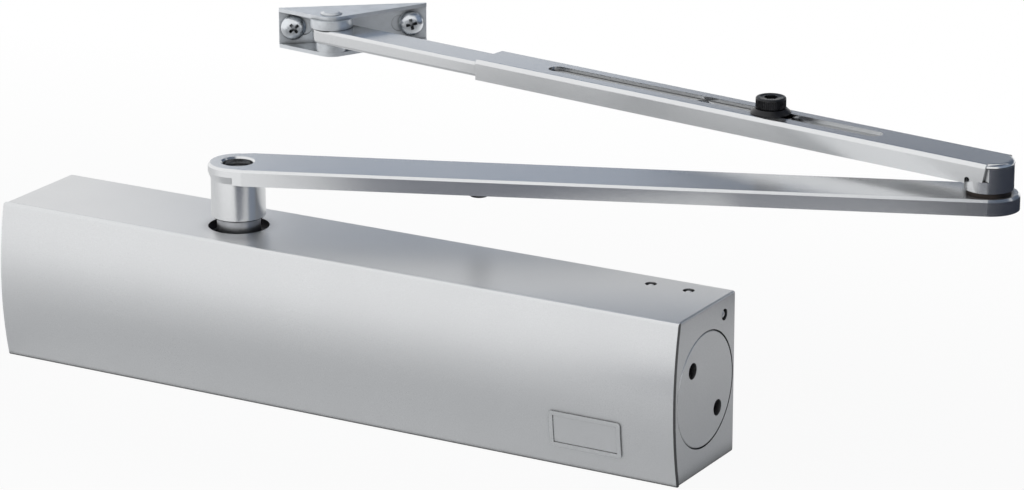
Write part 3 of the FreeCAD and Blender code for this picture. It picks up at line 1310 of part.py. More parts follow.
def build_bracket_bushes():
    inner = "(bracket_pin_radius + ring_clearance)"
    upper = turned_upright("upper_bush", PIVOT, ring_profile(
        inner, "upper_bush_radius", f"{ROD_TOP} + hinge_gap", LUG_UNDERSIDE))
    lower = turned_upright("lower_bush", PIVOT, ring_profile(
        inner, "lower_bush_radius", LOWER_LUG_TOP, f"{ROD_BOTTOM} - hinge_gap"))
    return [upper, lower]


def build_bracket_screws():
    place = (f"{PIVOT_X} + (screw_middle - screw_spacing / 2) * cos(bracket_angle)",
             f"{PIVOT_Y} + (screw_middle - screw_spacing / 2) * sin(bracket_angle)",
             f"{BRACKET_TOP} - bracket_height / 2")
    body = new_body("bracket_screws", place, "bracket_angle")
    seat = "(bracket_reach - bracket_sheet)"
    front = f"({seat} - screw_head_height)"
    edge = f"({seat} - screw_edge_height)"
    crown = "(screw_head_radius * 0.6)"
    end = "(bracket_reach + screw_length)"
    sketch = new_sketch(body, "XY_Plane")
    add_outline(sketch, [
        ("0", front), (crown, front), ("screw_head_radius", edge), ("screw_head_radius", seat),
        ("screw_radius", seat), ("screw_radius", f"{end} - screw_radius"),
        ("screw_radius / 2", end), ("0", end),
    ])
    screw = add_revolution(body, sketch, "V_Axis")
    finish_pattern(body, "LinearPattern", screw, (sketch, ["H_Axis"]), {"Occurrences": 2},
                   {"Length": "screw_spacing"})
    for middle in ("0", "screw_spacing"):
        for long, short in (("screw_cross_length", "screw_cross_width"),
                            ("screw_cross_width", "screw_cross_length")):
            sketch = new_sketch(body, "XZ_Plane", f"-({front} + screw_cross_depth)")
            add_outline(sketch, box_corners(f"{middle} - {long} / 2", f"{middle} + {long} / 2",
                                            f"-{short} / 2", f"{short} / 2"))
            add_pocket(body, sketch, "screw_head_height", reverse=True)
    return body


# The pieces

def build_pieces():
    """Every piece, in the order of a bench assembly."""
    right, left = HALF_LENGTH, f"-{HALF_LENGTH}"
    plug_ring = ring_section("(plug_radius + plug_clearance)")
    cap_ring = ring_section("shaft_bore_radius")
    pieces = [
        build_housing(), build_front_cover(), build_badge(),
        build_end_plug("right_end_plug", "", "0"), build_end_plug("left_end_plug", "-", "180"),
        build_seal_ring("right_plug_seal", (f"{right} - plug_seal_place", "-bore_depth", "0"),
                        plug_ring, "x"),
        build_seal_ring("left_plug_seal", (f"{left} + plug_seal_place", "-bore_depth", "0"),
                        plug_ring, "x"),
        build_channel_balls(),
        build_bearing("upper_bearing", "bearing_place"),
        build_bearing("lower_bearing", "-bearing_place - bearing_length"),
        build_needles("upper_needles", "bearing_place"),
        build_needles("lower_needles", "-bearing_place - bearing_length"),
        turned_upright("shaft_seal", SPINDLE, ring_profile(
            "shaft_radius + shaft_seal_play", "shaft_bore_radius - ring_clearance",
            "shaft_seal_place", "shaft_seal_place + shaft_seal_length")),
        build_retaining_ring(), build_bearing_cap(),
        build_seal_ring("cap_seal", SPINDLE[:2] + (f"-{HALF_HEIGHT} + cap_seal_place",), cap_ring, "z"),
    ]
    valve_ring = "(valve_radius + valve_play - valve_seal_section - seal_gap)"
    valve_level = "-valve_start - valve_tip_length - 2 * valve_seal_section - seal_gap"
    for name, place in zip(("speed_valve", "latch_valve"), VALVE_PLACES):
        pieces.append(build_valve(name, place))
        pieces.append(build_seal_ring(f"{name}_seal", (place, valve_level, "channel_height"),
                                      valve_ring, "y", "valve_seal_section"))
    pieces += [
        build_pinion_shaft(), build_piston(), build_check_ball(), build_check_ring(), build_piston_seal(),
        build_main_spring(), build_spring_seat(),
        build_main_arm(), build_arm_screw(), build_arm_washer(), build_arm_buffer(), build_knuckle_bush(),
        build_knuckle_post(), build_post_washer(), build_forearm_channel(), build_forearm_rod(),
        build_clamp_washer(), build_clamp_screw(),
        build_frame_bracket(), build_bracket_pin(), build_bracket_screws(),
    ]
    return pieces + build_bracket_bushes()


def check_document(pieces):
    """Stops if any object failed or any piece has no valid solid."""
    for item in doc.Objects:
        if "Invalid" in item.State or "Error" in item.State:
            raise RuntimeError(f"{item.Name} ({item.Label}) failed: {item.State}")
    for piece in pieces:
        if piece.Shape.isNull() or not piece.Shape.isValid() or not piece.Shape.Solids:
            raise RuntimeError(f"{piece.Label} has no valid solid")


def main():
    pieces = build_pieces()
    doc.recompute()
    check_document(pieces)
    os.makedirs("parts", exist_ok=True)
    for piece in pieces:
        piece.Shape.exportStep(f"parts/{piece.Label}.step")
        print(f"{piece.Label}: {len(piece.Shape.Solids)} solid, {piece.Shape.Volume:.0f} mm3")


main()
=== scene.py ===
"""Overhead door closer: finishes, fine screws, a buffer, a spring and a plain studio."""

import json
import math

import bmesh
import bpy
from mathutils import Matrix, Vector

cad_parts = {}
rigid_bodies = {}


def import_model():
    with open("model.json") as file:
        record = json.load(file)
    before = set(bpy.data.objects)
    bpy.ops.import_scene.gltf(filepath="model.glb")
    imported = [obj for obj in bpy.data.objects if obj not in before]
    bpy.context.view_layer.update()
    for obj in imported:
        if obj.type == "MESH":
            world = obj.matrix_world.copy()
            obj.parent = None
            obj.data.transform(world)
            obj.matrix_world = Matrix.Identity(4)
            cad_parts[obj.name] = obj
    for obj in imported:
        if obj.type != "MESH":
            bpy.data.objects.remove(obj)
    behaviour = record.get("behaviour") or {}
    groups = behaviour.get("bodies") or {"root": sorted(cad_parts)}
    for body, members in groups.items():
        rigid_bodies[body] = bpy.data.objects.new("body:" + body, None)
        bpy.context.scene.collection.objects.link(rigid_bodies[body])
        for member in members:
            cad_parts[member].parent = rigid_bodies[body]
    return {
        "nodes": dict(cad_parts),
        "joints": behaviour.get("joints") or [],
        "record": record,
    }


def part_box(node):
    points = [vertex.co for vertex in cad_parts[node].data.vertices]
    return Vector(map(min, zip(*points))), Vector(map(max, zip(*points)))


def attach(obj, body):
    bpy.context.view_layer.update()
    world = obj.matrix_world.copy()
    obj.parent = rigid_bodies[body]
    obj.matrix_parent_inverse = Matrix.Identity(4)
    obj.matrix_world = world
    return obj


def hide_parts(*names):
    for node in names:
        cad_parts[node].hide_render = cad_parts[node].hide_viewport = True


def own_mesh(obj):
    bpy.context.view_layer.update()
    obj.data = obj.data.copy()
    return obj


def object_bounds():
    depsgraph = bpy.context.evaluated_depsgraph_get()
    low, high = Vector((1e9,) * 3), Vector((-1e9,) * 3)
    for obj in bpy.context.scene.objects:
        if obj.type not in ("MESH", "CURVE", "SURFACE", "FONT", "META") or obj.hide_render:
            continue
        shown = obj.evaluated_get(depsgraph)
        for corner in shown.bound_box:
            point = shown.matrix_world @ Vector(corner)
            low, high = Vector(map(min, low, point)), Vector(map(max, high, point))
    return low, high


bl_info = {
    "name": "Overhead Door Closer",
    "version": (1, 0, 0),
    "blender": (4, 5, 0),
    "location": "View3D > Sidebar > Door Closer",
    "description": "Finishes, fine screws and a plain studio for an overhead door closer",
    "category": "Object",
}

for start_up_object in list(bpy.data.objects):
    bpy.data.objects.remove(start_up_object)
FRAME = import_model()
CAD_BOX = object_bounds()
NODES = FRAME["nodes"]
BRACKET_MOUNT = next(mount for mount in FRAME["record"]["mounts"]
                     if mount["name"] == "frame_fixing")

MM = 0.001
TINY = 0.02 * MM
SMOOTH_ANGLE = math.radians(32)
UPRIGHT = (0.0, 0.0, 0.0)
LENGTHWISE = (0.0, math.pi / 2, 0.0)
OUTWARD = (math.pi / 2, 0.0, 0.0)


# Counts and fixed shares of the modelled pieces

ROUND_CORNERS = 48
SHANK_CORNERS = 32
# Face at a shank's end, inset by this share of the core's radius
SHANK_END = 0.4
RIDGE_CORNERS = 3
RIDGE_STEPS = 20
# Height of a thread over the radius of its ridge's outline; below 1.5 its foot is in the core
RIDGE_HEIGHT = 1.4
CLAMP_PITCH = 1.0 * MM
SCREW_PITCH = 1.1 * MM
# Radius of the core under a thread, as a share of the radius over it
CLAMP_CORE = 0.86
SCREW_CORE = 0.8
# Drilled point at the floor of the hexagon socket, as shares of its width
SOCKET_RING = 0.2
SOCKET_POINT = 0.12
# Rim round each flute of the knurl, as a share of a rib's width
FLUTE_RIM = 0.17
# Flat ring and step on top of the clamp screw's head, as shares of its radius
HEAD_RING = 0.16
HEAD_STEP = 0.05
HEAD_SINK = 0.15 * MM
# Foot of the cross recess, as a share of its mouth
RECESS_FOOT = 0.42
# Straight rim of a bracket screw's head, as a share of its height
SCREW_RIM = 0.36
# Steps of a bracket screw's dome: share of its climb above the rim, share of its radius
SCREW_DOME = ((0.24, 0.955), (0.5, 0.86), (0.75, 0.72), (0.92, 0.56), (1.0, 0.38))
# Turn of each bracket screw's recess, in degrees
LEFT_SCREW_TURN = 38
RIGHT_SCREW_TURN = 12
# Rounded rim, ring and hollow of the buffer's foot, as shares of its radius
BUFFER_ROUNDING = 0.28
BUFFER_RING = 0.3
BUFFER_HOLLOW = 0.05
COIL_CORNERS = 14
COIL_STEPS = 36


# Finishes

# Distance of the bands of a Wave texture at a scale of 1
BAND_DISTANCE = math.pi / 10
# Dullness is the roughness that the marks of a finish vary
BODY_METAL, BODY_DULLNESS = 0.85, 0.34
COVER_DULLNESS = 0.3
BADGE_METAL, BADGE_DULLNESS = 0.9, 0.26
ARM_METAL, ARM_DULLNESS = 0.92, 0.21
ZINC_METAL, BRACKET_DULLNESS, SCREW_DULLNESS = 0.95, 0.32, 0.2
TURNED_ZINC_DULLNESS, TURNED_ZINC_PITCH = 0.36, 0.5 * MM
OXIDE_WORN = (0.2, 0.2, 0.21, 1.0)
RUBBER_DUST = (0.085, 0.085, 0.08, 1.0)


class Shade:
    """A socket of a node tree; arithmetic on it adds Math nodes."""

    def __init__(self, board, socket):
        self.board = board
        self.socket = socket

    def join(self, operation, first, second):
        return self.board.node("ShaderNodeMath", {"operation": operation}, {0: first, 1: second})

    def __add__(self, other):
        return self.join("ADD", self, other)

    def __radd__(self, other):
        return self.join("ADD", other, self)

    def __sub__(self, other):
        return self.join("SUBTRACT", self, other)

    def __rsub__(self, other):
        return self.join("SUBTRACT", other, self)

    def __mul__(self, other):
        return self.join("MULTIPLY", self, other)

    def __rmul__(self, other):
        return self.join("MULTIPLY", other, self)


class Board:
    """A node tree that is filled from code."""

    def __init__(self, tree):
        self.tree = tree
        tree.nodes.clear()

    def node(self, kind, settings=None, inputs=None, output=0):
        """Adds a node: its settings first, then its sockets; gives one of its outputs."""
        made = self.tree.nodes.new(kind)
        for name, setting in (settings or {}).items():
            setattr(made, name, setting)
        for name, entry in (inputs or {}).items():
            if isinstance(entry, Shade):
                self.tree.links.new(entry.socket, made.inputs[name])
            else:
                made.inputs[name].default_value = entry
        return Shade(self, made.outputs[output]) if made.outputs else None

    def blend(self, factor, first, second):
        """Mixes two colours."""
        return self.node("ShaderNodeMix", {"data_type": "RGBA"},
                         {"Factor": factor, 6: first, 7: second}, 2)

    def remap(self, level, low, high, first=0.0, second=1.0):
        """Stretches the span from low to high over first to second, and clips what lies outside."""
        return self.node("ShaderNodeMapRange", None,
                         {"Value": level, "From Min": low, "From Max": high,
                          "To Min": first, "To Max": second})

    def ray(self, kind):
        """1 for the rays of one kind: Camera, Glossy or Transmission."""
        return self.node("ShaderNodeLightPath", None, None, f"Is {kind} Ray")

    def light(self, kind, tint, strength=1.0):
        """A plain light: the Emission of a surface or the Background of a world."""
        return self.node(kind, None, {"Color": tint, "Strength": strength})


class Finish(Board):
    """A material of one piece or a few like pieces."""

    def __init__(self, name):
        self.material = bpy.data.materials.new(name)
        self.material.use_nodes = True
        super().__init__(self.material.node_tree)
        self.place = self.node("ShaderNodeTexCoord", None, None, "Object")

    def noise(self, size, detail=2.0, stretch=(1.0, 1.0, 1.0)):
        """Cloudy noise; size is one cloud in metres, longer along an axis with a small stretch."""
        where = self.node("ShaderNodeMapping", None, {"Vector": self.place, "Scale": stretch})
        return self.node("ShaderNodeTexNoise", None,
                         {"Vector": where, "Scale": 1 / size, "Detail": detail, "Roughness": 0.55})

    def pits(self, size):
        """The distance from the middle of the nearest cell."""
        return self.node("ShaderNodeTexVoronoi", {"feature": "F1"},
                         {"Vector": self.place, "Scale": 1 / size}, "Distance")

    def rings(self, centre, turn, pitch):
        """Turning marks round a piece's own axis."""
        where = self.node("ShaderNodeVectorMath", {"operation": "SUBTRACT"},
                          {0: self.place, 1: centre})
        where = self.node("ShaderNodeMapping", None, {"Vector": where, "Rotation": turn})
        return self.node("ShaderNodeTexWave", {"wave_type": "RINGS", "rings_direction": "Z"},
                         {"Vector": where, "Scale": BAND_DISTANCE / pitch, "Distortion": 1.5,
                          "Detail": 2.0, "Detail Scale": 1.0}, "Fac")

    def edges(self, radius):
        """1 on the outer and inner edges of the piece, 0 on its faces."""
        rounded = self.node("ShaderNodeBevel", {"samples": 4}, {"Radius": radius})
        plain = self.node("ShaderNodeNewGeometry", None, None, "Normal")
        likeness = self.node("ShaderNodeVectorMath", {"operation": "DOT_PRODUCT"},
                             {0: rounded, 1: plain}, "Value")
        return self.remap(likeness, 0.995, 0.9)

    def openness(self, reach):
        """1 on open faces, towards 0 in grooves, holes and gaps that are narrower than reach."""
        return self.node("ShaderNodeAmbientOcclusion", {"samples": 6}, {"Distance": reach}, "AO")

    def beyond(self, distance):
        """1 where the piece is farther than distance from the middle, lengthwise."""
        across = self.node("ShaderNodeSeparateXYZ", None, {0: self.place}, "X")
        reach = self.node("ShaderNodeMath", {"operation": "ABSOLUTE"}, {0: across})
        return self.node("ShaderNodeMath", {"operation": "GREATER_THAN"}, {0: reach, 1: distance})

    def coat(self, colour, roughness, metallic, height, relief):
        """The surface: varying colour, roughness and metal, and a relief in metres."""
        normal = self.node("ShaderNodeBump", None,
                           {"Height": height, "Strength": 1.0, "Distance": relief})
        shader = self.node("ShaderNodeBsdfPrincipled", None,
                           {"Base Color": colour, "Roughness": roughness, "Metallic": metallic,
                            "Normal": normal})
        return self.cover(shader)

    def cover(self, shader):
        """Makes a shader the surface, and gives the material."""
        self.node("ShaderNodeOutputMaterial", None, {"Surface": shader})
        return self.material


def darker(colour, share):
    """A colour scaled in brightness, as the node sockets take it."""
    return tuple(min(1.0, channel * share) for channel in colour[:3]) + (1.0,)


def silver_lacquer(name, colour, metal, dullness, groove_shade=0.1, reach=2.2 * MM, end_shade_from=None):
    """Silver lacquer: fine flakes, slight orange peel, soft clouds, painted shade in grooves, holes
    and gaps, paler edges.

    The last argument is half the length of a sheet whose bare cut ends are painted near black, as
    painted shade of the gap behind them."""
    finish = Finish(name)
    flake = finish.noise(0.28 * MM, detail=2.0)
    cloud = finish.noise(38 * MM, detail=3.0)
    peel = finish.noise(1.8 * MM, detail=1.0)
    worn = finish.edges(0.4 * MM) * finish.remap(finish.noise(6 * MM, detail=4.0), 0.45, 0.62)
    # Painted shade: ambient occlusion marks grooves, holes and gaps narrower than reach
    closed = finish.remap(finish.openness(reach), 0.85, 0.3)
    body = finish.blend(finish.remap(flake, 0.3, 0.7), darker(colour, 0.93), darker(colour, 1.06))
    body = finish.blend(finish.remap(cloud, 0.35, 0.65) * 0.5, body, darker(colour, 0.96))
    body = finish.blend(worn * 0.3, body, darker(colour, 1.2))
    # Painted shade: those grooves, holes and gaps take this share of the colour
    body = finish.blend(closed, body, darker(colour, groove_shade))
    # Painted shade: the sheet's cut ends are near black, for the shadow in the gap at its ends
    if end_shade_from:
        body = finish.blend(finish.beyond(end_shade_from), body, darker(colour, 0.12))
    roughness = dullness + (flake - 0.5) * 0.08 + (cloud - 0.5) * 0.06 + worn * 0.05
    return finish.coat(body, roughness, metal, flake * 0.12 + peel * 0.88, 0.009 * MM)


def bright_zinc(name, colour, dullness, reach=1.6 * MM):
    """Bright zinc plate: bluish and slightly milky patches, faint drawing marks, worn edges,
    painted shade in holes and gaps.
    """
    finish = Finish(name)
    milk = finish.noise(7 * MM, detail=4.0)
    marks = finish.noise(0.5 * MM, detail=3.0, stretch=(1.0, 1.0, 0.25))
    worn = finish.edges(0.3 * MM)
    # Painted shade: ambient occlusion darkens holes and gaps nearly to black
    closed = finish.remap(finish.openness(reach), 0.8, 0.25)
    body = finish.blend(finish.remap(milk, 0.38, 0.64), darker(colour, 1.0), darker(colour, 0.9))
    body = finish.blend(worn * 0.3, body, darker(colour, 1.2))
    body = finish.blend(closed, body, darker(colour, 0.06))
    roughness = dullness + finish.remap(milk, 0.4, 0.65) * 0.08 + (marks - 0.5) * 0.08
    return finish.coat(body, roughness, ZINC_METAL, marks, 0.004 * MM)


def turned_metal(name, colour, centre, turn, pitch=0.35 * MM, dullness=0.28):
    """Ground or turned metal with fine marks round its axis, a few stains and painted shade in
    holes and gaps.
    """
    finish = Finish(name)
    mark = finish.rings(centre, turn, pitch)
    stain = finish.noise(5 * MM, detail=4.0)
    fine = finish.noise(0.25 * MM, detail=2.0)
    # Painted shade: ambient occlusion darkens holes, gaps and places close to other parts
    closed = finish.remap(finish.openness(3 * MM), 0.75, 0.25)
    body = finish.blend(finish.remap(stain, 0.4, 0.7), darker(colour, 1.0), darker(colour, 0.78))
    body = finish.blend(mark * 0.25, body, darker(colour, 0.8))
    body = finish.blend(closed, body, darker(colour, 0.12))
    roughness = (dullness + mark * 0.08 + (fine - 0.5) * 0.12
                 + finish.remap(stain, 0.5, 0.7) * 0.08)
    return finish.coat(body, roughness, 1.0, mark * 0.6 + fine * 0.4, 0.01 * MM)


def black_oxide(name, colour):
    """Black oxide on steel: a dark, slightly mottled film that is thin on the edges."""
    finish = Finish(name)
    mottle = finish.noise(1.8 * MM, detail=4.0)
    fine = finish.noise(0.22 * MM, detail=2.0)
    worn = finish.edges(0.22 * MM) * finish.remap(finish.noise(2 * MM, detail=3.0), 0.4, 0.62)
    body = finish.blend(finish.remap(mottle, 0.35, 0.65), darker(colour, 0.8), darker(colour, 1.5))
    body = finish.blend(worn * 0.45, body, OXIDE_WORN)
    roughness = 0.34 + (mottle - 0.5) * 0.2 + (fine - 0.5) * 0.12
    return finish.coat(body, roughness, 0.3 + worn * 0.4, fine * 0.6 + mottle * 0.4, 0.02 * MM)


def moulded_rubber(name, colour):
    """Moulded black rubber: dull, faintly dusty, with a fine grain."""
    finish = Finish(name)
    grain = finish.noise(0.3 * MM, detail=3.0)
    dust = finish.noise(2.5 * MM, detail=4.0)
    body = finish.blend(finish.remap(dust, 0.45, 0.75) * 0.6, darker(colour, 1.0), RUBBER_DUST)
    roughness = 0.66 + (grain - 0.5) * 0.2 + finish.remap(dust, 0.5, 0.7) * 0.1
    return finish.coat(body, roughness, 0.0, grain, 0.03 * MM)


def sintered_bronze(name, colour):
    """Sintered bronze: open pores in a warm, oily metal."""
    finish = Finish(name)
    pore = finish.remap(finish.pits(0.32 * MM), 0.06, 0.26)
    oil = finish.remap(finish.noise(4 * MM, detail=3.0), 0.45, 0.7)
    body = finish.blend(pore, darker(colour, 0.25), darker(colour, 1.0))
    body = finish.blend(oil * 0.5, body, darker(colour, 0.7))
    roughness = 0.48 - oil * 0.14 + (1 - pore) * 0.2
    return finish.coat(body, roughness, 1.0, pore, 0.03 * MM)


def oiled_wire(name, colour):
    """Oil-tempered spring wire: dark blue-grey with drawing streaks and oil."""
    finish = Finish(name)
    streak = finish.noise(0.5 * MM, detail=4.0, stretch=(0.4, 1.0, 1.0))
    oil = finish.noise(6 * MM, detail=3.0)
    body = finish.blend(finish.remap(streak, 0.35, 0.65), darker(colour, 0.7), darker(colour, 1.25))
    roughness = 0.36 + (streak - 0.5) * 0.2 - finish.remap(oil, 0.5, 0.7) * 0.12
    return finish.coat(body, roughness, 0.85, streak, 0.015 * MM)


def wear(names, material):
    """Puts a finish on CAD nodes."""
    for name in names:
        for slot in NODES[name].material_slots:
            slot.material = material


def dress(piece, material):
    """Gives a modelled piece its one material."""
    piece.data.materials.clear()
    piece.data.materials.append(material)


def middle(name):
    """The middle of a node's box."""
    low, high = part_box(name)
    return (low + high) / 2


# Modelling

def start_piece():
    """Leaves nothing selected, so that an operator reaches only the new piece."""
    if bpy.context.object and bpy.context.object.mode != "OBJECT":
        bpy.ops.object.mode_set(mode="OBJECT")
    bpy.ops.object.select_all(action="DESELECT")


def pick(piece):
    """Selects one piece alone, and makes it the active one."""
    start_piece()
    piece.select_set(True)
    bpy.context.view_layer.objects.active = piece


def edit(piece):
    """Opens a piece for work on its faces and edges."""
    bpy.context.view_layer.objects.active = piece
    bpy.ops.object.mode_set(mode="EDIT")


def leave_edit():
    """Ends the work on faces and edges."""
    bpy.ops.object.mode_set(mode="OBJECT")


def choose(piece, kind, test):
    """Selects the faces or edges that pass the test, and nothing else; kind is FACE or EDGE."""
    bpy.ops.mesh.select_mode(type=kind)
    bpy.ops.mesh.select_all(action="DESELECT")
    mesh = bmesh.from_edit_mesh(piece.data)
    for item in mesh.faces if kind == "FACE" else mesh.edges:
        item.select_set(bool(test(item)))
    bmesh.update_edit_mesh(piece.data)


def at_height(level):
    """A test for edges and faces that lie in the plane z = level."""
    return lambda item: all(abs(vertex.co.z - level) < TINY for vertex in item.verts)


def set_place(piece):
    """Puts the piece's place into its mesh, with the object at the origin."""
    pick(piece)
    bpy.ops.object.transform_apply(location=True, rotation=True, scale=True)


def move_to(piece, place):
    """Moves a piece whose object is at the origin, and puts its place into its mesh."""
    piece.location = place
    set_place(piece)


def cut_away(piece, tool):
    """Subtracts the tool from the piece, and removes the tool."""
    modifier = piece.modifiers.new("cut", "BOOLEAN")
    modifier.operation = "DIFFERENCE"
    modifier.solver = "EXACT"
    modifier.object = tool
    pick(piece)
    bpy.ops.object.modifier_apply(modifier=modifier.name)
    bpy.data.objects.remove(tool)


def rename(piece, name):
    """Gives an object and its mesh one name."""
    piece.name = name
    piece.data.name = name
    return piece


def join_pieces(pieces, name):
    """Makes one object of several shells."""
    start_piece()
    for piece in pieces:
        piece.select_set(True)
    bpy.context.view_layer.objects.active = pieces[0]
    bpy.ops.object.join()
    return rename(bpy.context.object, name)


def smooth(piece):
    """Closes what is open, points every face outwards and smooths the round faces."""
    edit(piece)
    bpy.ops.mesh.select_all(action="SELECT")
    bpy.ops.mesh.remove_doubles(threshold=MM / 1000)
    bpy.ops.mesh.normals_make_consistent(inside=False)
    leave_edit()
    pick(piece)
    bpy.ops.object.shade_smooth_by_angle(angle=SMOOTH_ANGLE)


def round_bar(corners, radius, depth, place):
    """An upright cylinder round the point place, alone in the selection."""
    start_piece()
    bpy.ops.mesh.primitive_cylinder_add(vertices=corners, radius=radius, depth=depth,
                                        location=place)
    return bpy.context.object


def round_outline(corners, radius, place, turn):
    """A closed round outline without a face, with its place in its mesh."""
    start_piece()
    bpy.ops.mesh.primitive_circle_add(vertices=corners, radius=radius, location=place,
                                      rotation=turn)
    outline = bpy.context.object
    set_place(outline)
    return outline


def wind(piece, axis, pitch, turns, steps, corners):
    """Winds a closed outline round the origin's axis into a coil, and closes its two ends."""
    winding = piece.modifiers.new("winding", "SCREW")
    winding.axis = axis
    winding.screw_offset = pitch
    winding.iterations = turns
    winding.steps = steps
    winding.render_steps = steps
    bpy.ops.object.modifier_apply(modifier=winding.name)
    edit(piece)
    bpy.ops.mesh.select_mode(type="EDGE")
    bpy.ops.mesh.select_all(action="SELECT")
    bpy.ops.mesh.fill_holes(sides=corners)
    leave_edit()


def threaded_shank(length, radius, core_share, pitch):
    """A shank that hangs down from the origin, with a helical thread on its lower part."""
    root = radius * core_share
    core = round_bar(SHANK_CORNERS, root, length, (0, 0, -length / 2))
    edit(core)
    choose(core, "FACE", at_height(-length / 2))
    bpy.ops.mesh.inset(thickness=root * SHANK_END)
    leave_edit()
    set_place(core)
    ridge_radius = (radius - root) / RIDGE_HEIGHT
    turns = int((length - 2 * root) / pitch)
    outward = Matrix(((0, 1, 0), (0, 0, 1), (1, 0, 0)))
    ridge = round_outline(RIDGE_CORNERS, ridge_radius,
                          (radius - ridge_radius, 0, -length + root), outward.to_euler())
    wind(ridge, "Z", pitch, turns, RIDGE_STEPS, RIDGE_CORNERS)
    return [core, ridge]


def hexagon_tool(across_flats, depth, level):
    """A hexagonal bar that reaches down to depth below the level, with a drilled point."""
    tool = round_bar(6, across_flats / math.sqrt(3), 2 * depth, (0, 0, level))
    edit(tool)
    choose(tool, "FACE", at_height(-depth))
    bpy.ops.mesh.inset(thickness=across_flats * SOCKET_RING)
    bpy.ops.transform.translate(value=(0, 0, -across_flats * SOCKET_POINT))
    leave_edit()
    set_place(tool)
    return tool


def knurled_screw(sizes):
    """The clamp screw, upright on the origin: a knurled head with a hexagon socket, its shank."""
    radius, height = sizes.clamp_head_radius, sizes.clamp_head_height
    head = round_bar(sizes.clamp_ribs, radius, height, (0, 0, height / 2))
    edit(head)
    choose(head, "EDGE", at_height(height / 2))
    bpy.ops.mesh.bevel(offset=sizes.clamp_rounding, segments=3, affect="EDGES")
    choose(head, "EDGE", at_height(-height / 2))
    bpy.ops.mesh.bevel(offset=sizes.clamp_rounding / 2, segments=1, affect="EDGES")
    side = height - 2 * sizes.clamp_rounding
    choose(head, "FACE", lambda face: abs(face.normal.z) < 0.1
           and max(v.co.z for v in face.verts) - min(v.co.z for v in face.verts) > side / 2)
    rib = 2 * math.pi * radius / sizes.clamp_ribs
    bpy.ops.mesh.inset(thickness=rib * FLUTE_RIM, depth=-sizes.clamp_knurl, use_individual=True)
    choose(head, "FACE", at_height(height / 2))
    bpy.ops.mesh.inset(thickness=radius * HEAD_RING)
    bpy.ops.mesh.inset(thickness=radius * HEAD_STEP, depth=-HEAD_SINK)
    leave_edit()
    set_place(head)
    cut_away(head, hexagon_tool(sizes.hexagon_width, sizes.hexagon_depth, height))
    low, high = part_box("clamp_screw")
    shank = threaded_shank(high.z - height - low.z + TINY, sizes.clamp_shank_radius, CLAMP_CORE,
                           CLAMP_PITCH)
    return join_pieces([head] + shank, "clamp_screw_fine")


def recess_tool(length, width, depth, level, quarter):
    """One bar of a cross recess, narrower at its foot."""
    start_piece()
    bpy.ops.mesh.primitive_cube_add(size=1, location=(0, 0, level),
                                    rotation=(0, 0, math.pi / 2 * quarter),
                                    scale=(length, width, 2 * depth))
    tool = bpy.context.object
    set_place(tool)
    edit(tool)
    choose(tool, "FACE", at_height(level - depth))
    bpy.ops.transform.resize(value=(RECESS_FOOT, RECESS_FOOT, 1),
                             center_override=(0, 0, level - depth))
    leave_edit()
    return tool


def cross_screw(sizes):
    """A bracket screw with its head upwards: a domed head, a cross recess and a threaded shank."""
    radius, height = sizes.screw_head_radius, sizes.screw_head_height
    rim = height * SCREW_RIM
    head = round_bar(ROUND_CORNERS, radius, rim, (0, 0, rim / 2))
    set_place(head)
    edit(head)
    choose(head, "FACE", at_height(rim))
    level, width = rim, 1.0
    for climb, share in SCREW_DOME:
        rise = rim + (height - rim) * climb - level
        bpy.ops.mesh.extrude_region_move(TRANSFORM_OT_translate={"value": (0, 0, rise)})
        bpy.ops.transform.resize(value=(share / width, share / width, 1),
                                 center_override=(0, 0, 0))
        level, width = level + rise, share
    leave_edit()
    for quarter in (0, 1):
        cut_away(head, recess_tool(sizes.cross_length, sizes.cross_width, sizes.cross_depth,
                                   height, quarter))
    shank = threaded_shank(sizes.screw_length, sizes.screw_radius, SCREW_CORE, SCREW_PITCH)
    return join_pieces([head] + shank, "bracket_screw_left")


def rubber_buffer(sizes):
    """The buffer, hanging from the origin: a head with a rounded rim and a hollow foot, a pin."""
    radius, height = sizes.buffer_radius, sizes.buffer_height
    buffer = round_bar(ROUND_CORNERS, radius, height, (0, 0, -height / 2))
    set_place(buffer)
    edit(buffer)
    choose(buffer, "FACE", at_height(0))
    bpy.ops.mesh.inset(thickness=radius - sizes.buffer_pin_radius)
    bpy.ops.mesh.extrude_region_move(
        TRANSFORM_OT_translate={"value": (0, 0, sizes.buffer_pin_length)})
    choose(buffer, "EDGE", at_height(-height))
    bpy.ops.mesh.bevel(offset=radius * BUFFER_ROUNDING, segments=4, affect="EDGES")
    choose(buffer, "FACE", at_height(-height))
    bpy.ops.mesh.inset(thickness=radius * BUFFER_RING)
    bpy.ops.transform.translate(value=(0, 0, radius * BUFFER_HOLLOW))
    leave_edit()
    return rename(buffer, "arm_buffer_fine")


def coil_spring(sizes, length, radius):
    """The main spring, lengthwise on the origin: round wire, wound on a steady pitch."""
    pitch = (length - sizes.spring_wire) / sizes.spring_turns
    lead = math.atan2(pitch, 2 * math.pi * radius)
    coil = round_outline(COIL_CORNERS, sizes.spring_wire / 2,
                         ((sizes.spring_wire - length) / 2, radius, 0), (0, lead, 0))
    wind(coil, "X", pitch, sizes.spring_turns, COIL_STEPS, COIL_CORNERS)
    return rename(coil, "main_spring_wound")


# Sizes and colours that a user may change

def span(name, default, description):
    """A length in the panel."""
    return bpy.props.FloatProperty(name=name, description=description, default=default,
                                   min=0.0, unit="LENGTH", subtype="DISTANCE", precision=5)


def paint(name, default, description):
    """A colour in the panel."""
    return bpy.props.FloatVectorProperty(name=name, description=description, default=default,
                                         size=3, min=0.0, max=1.0, subtype="COLOR")


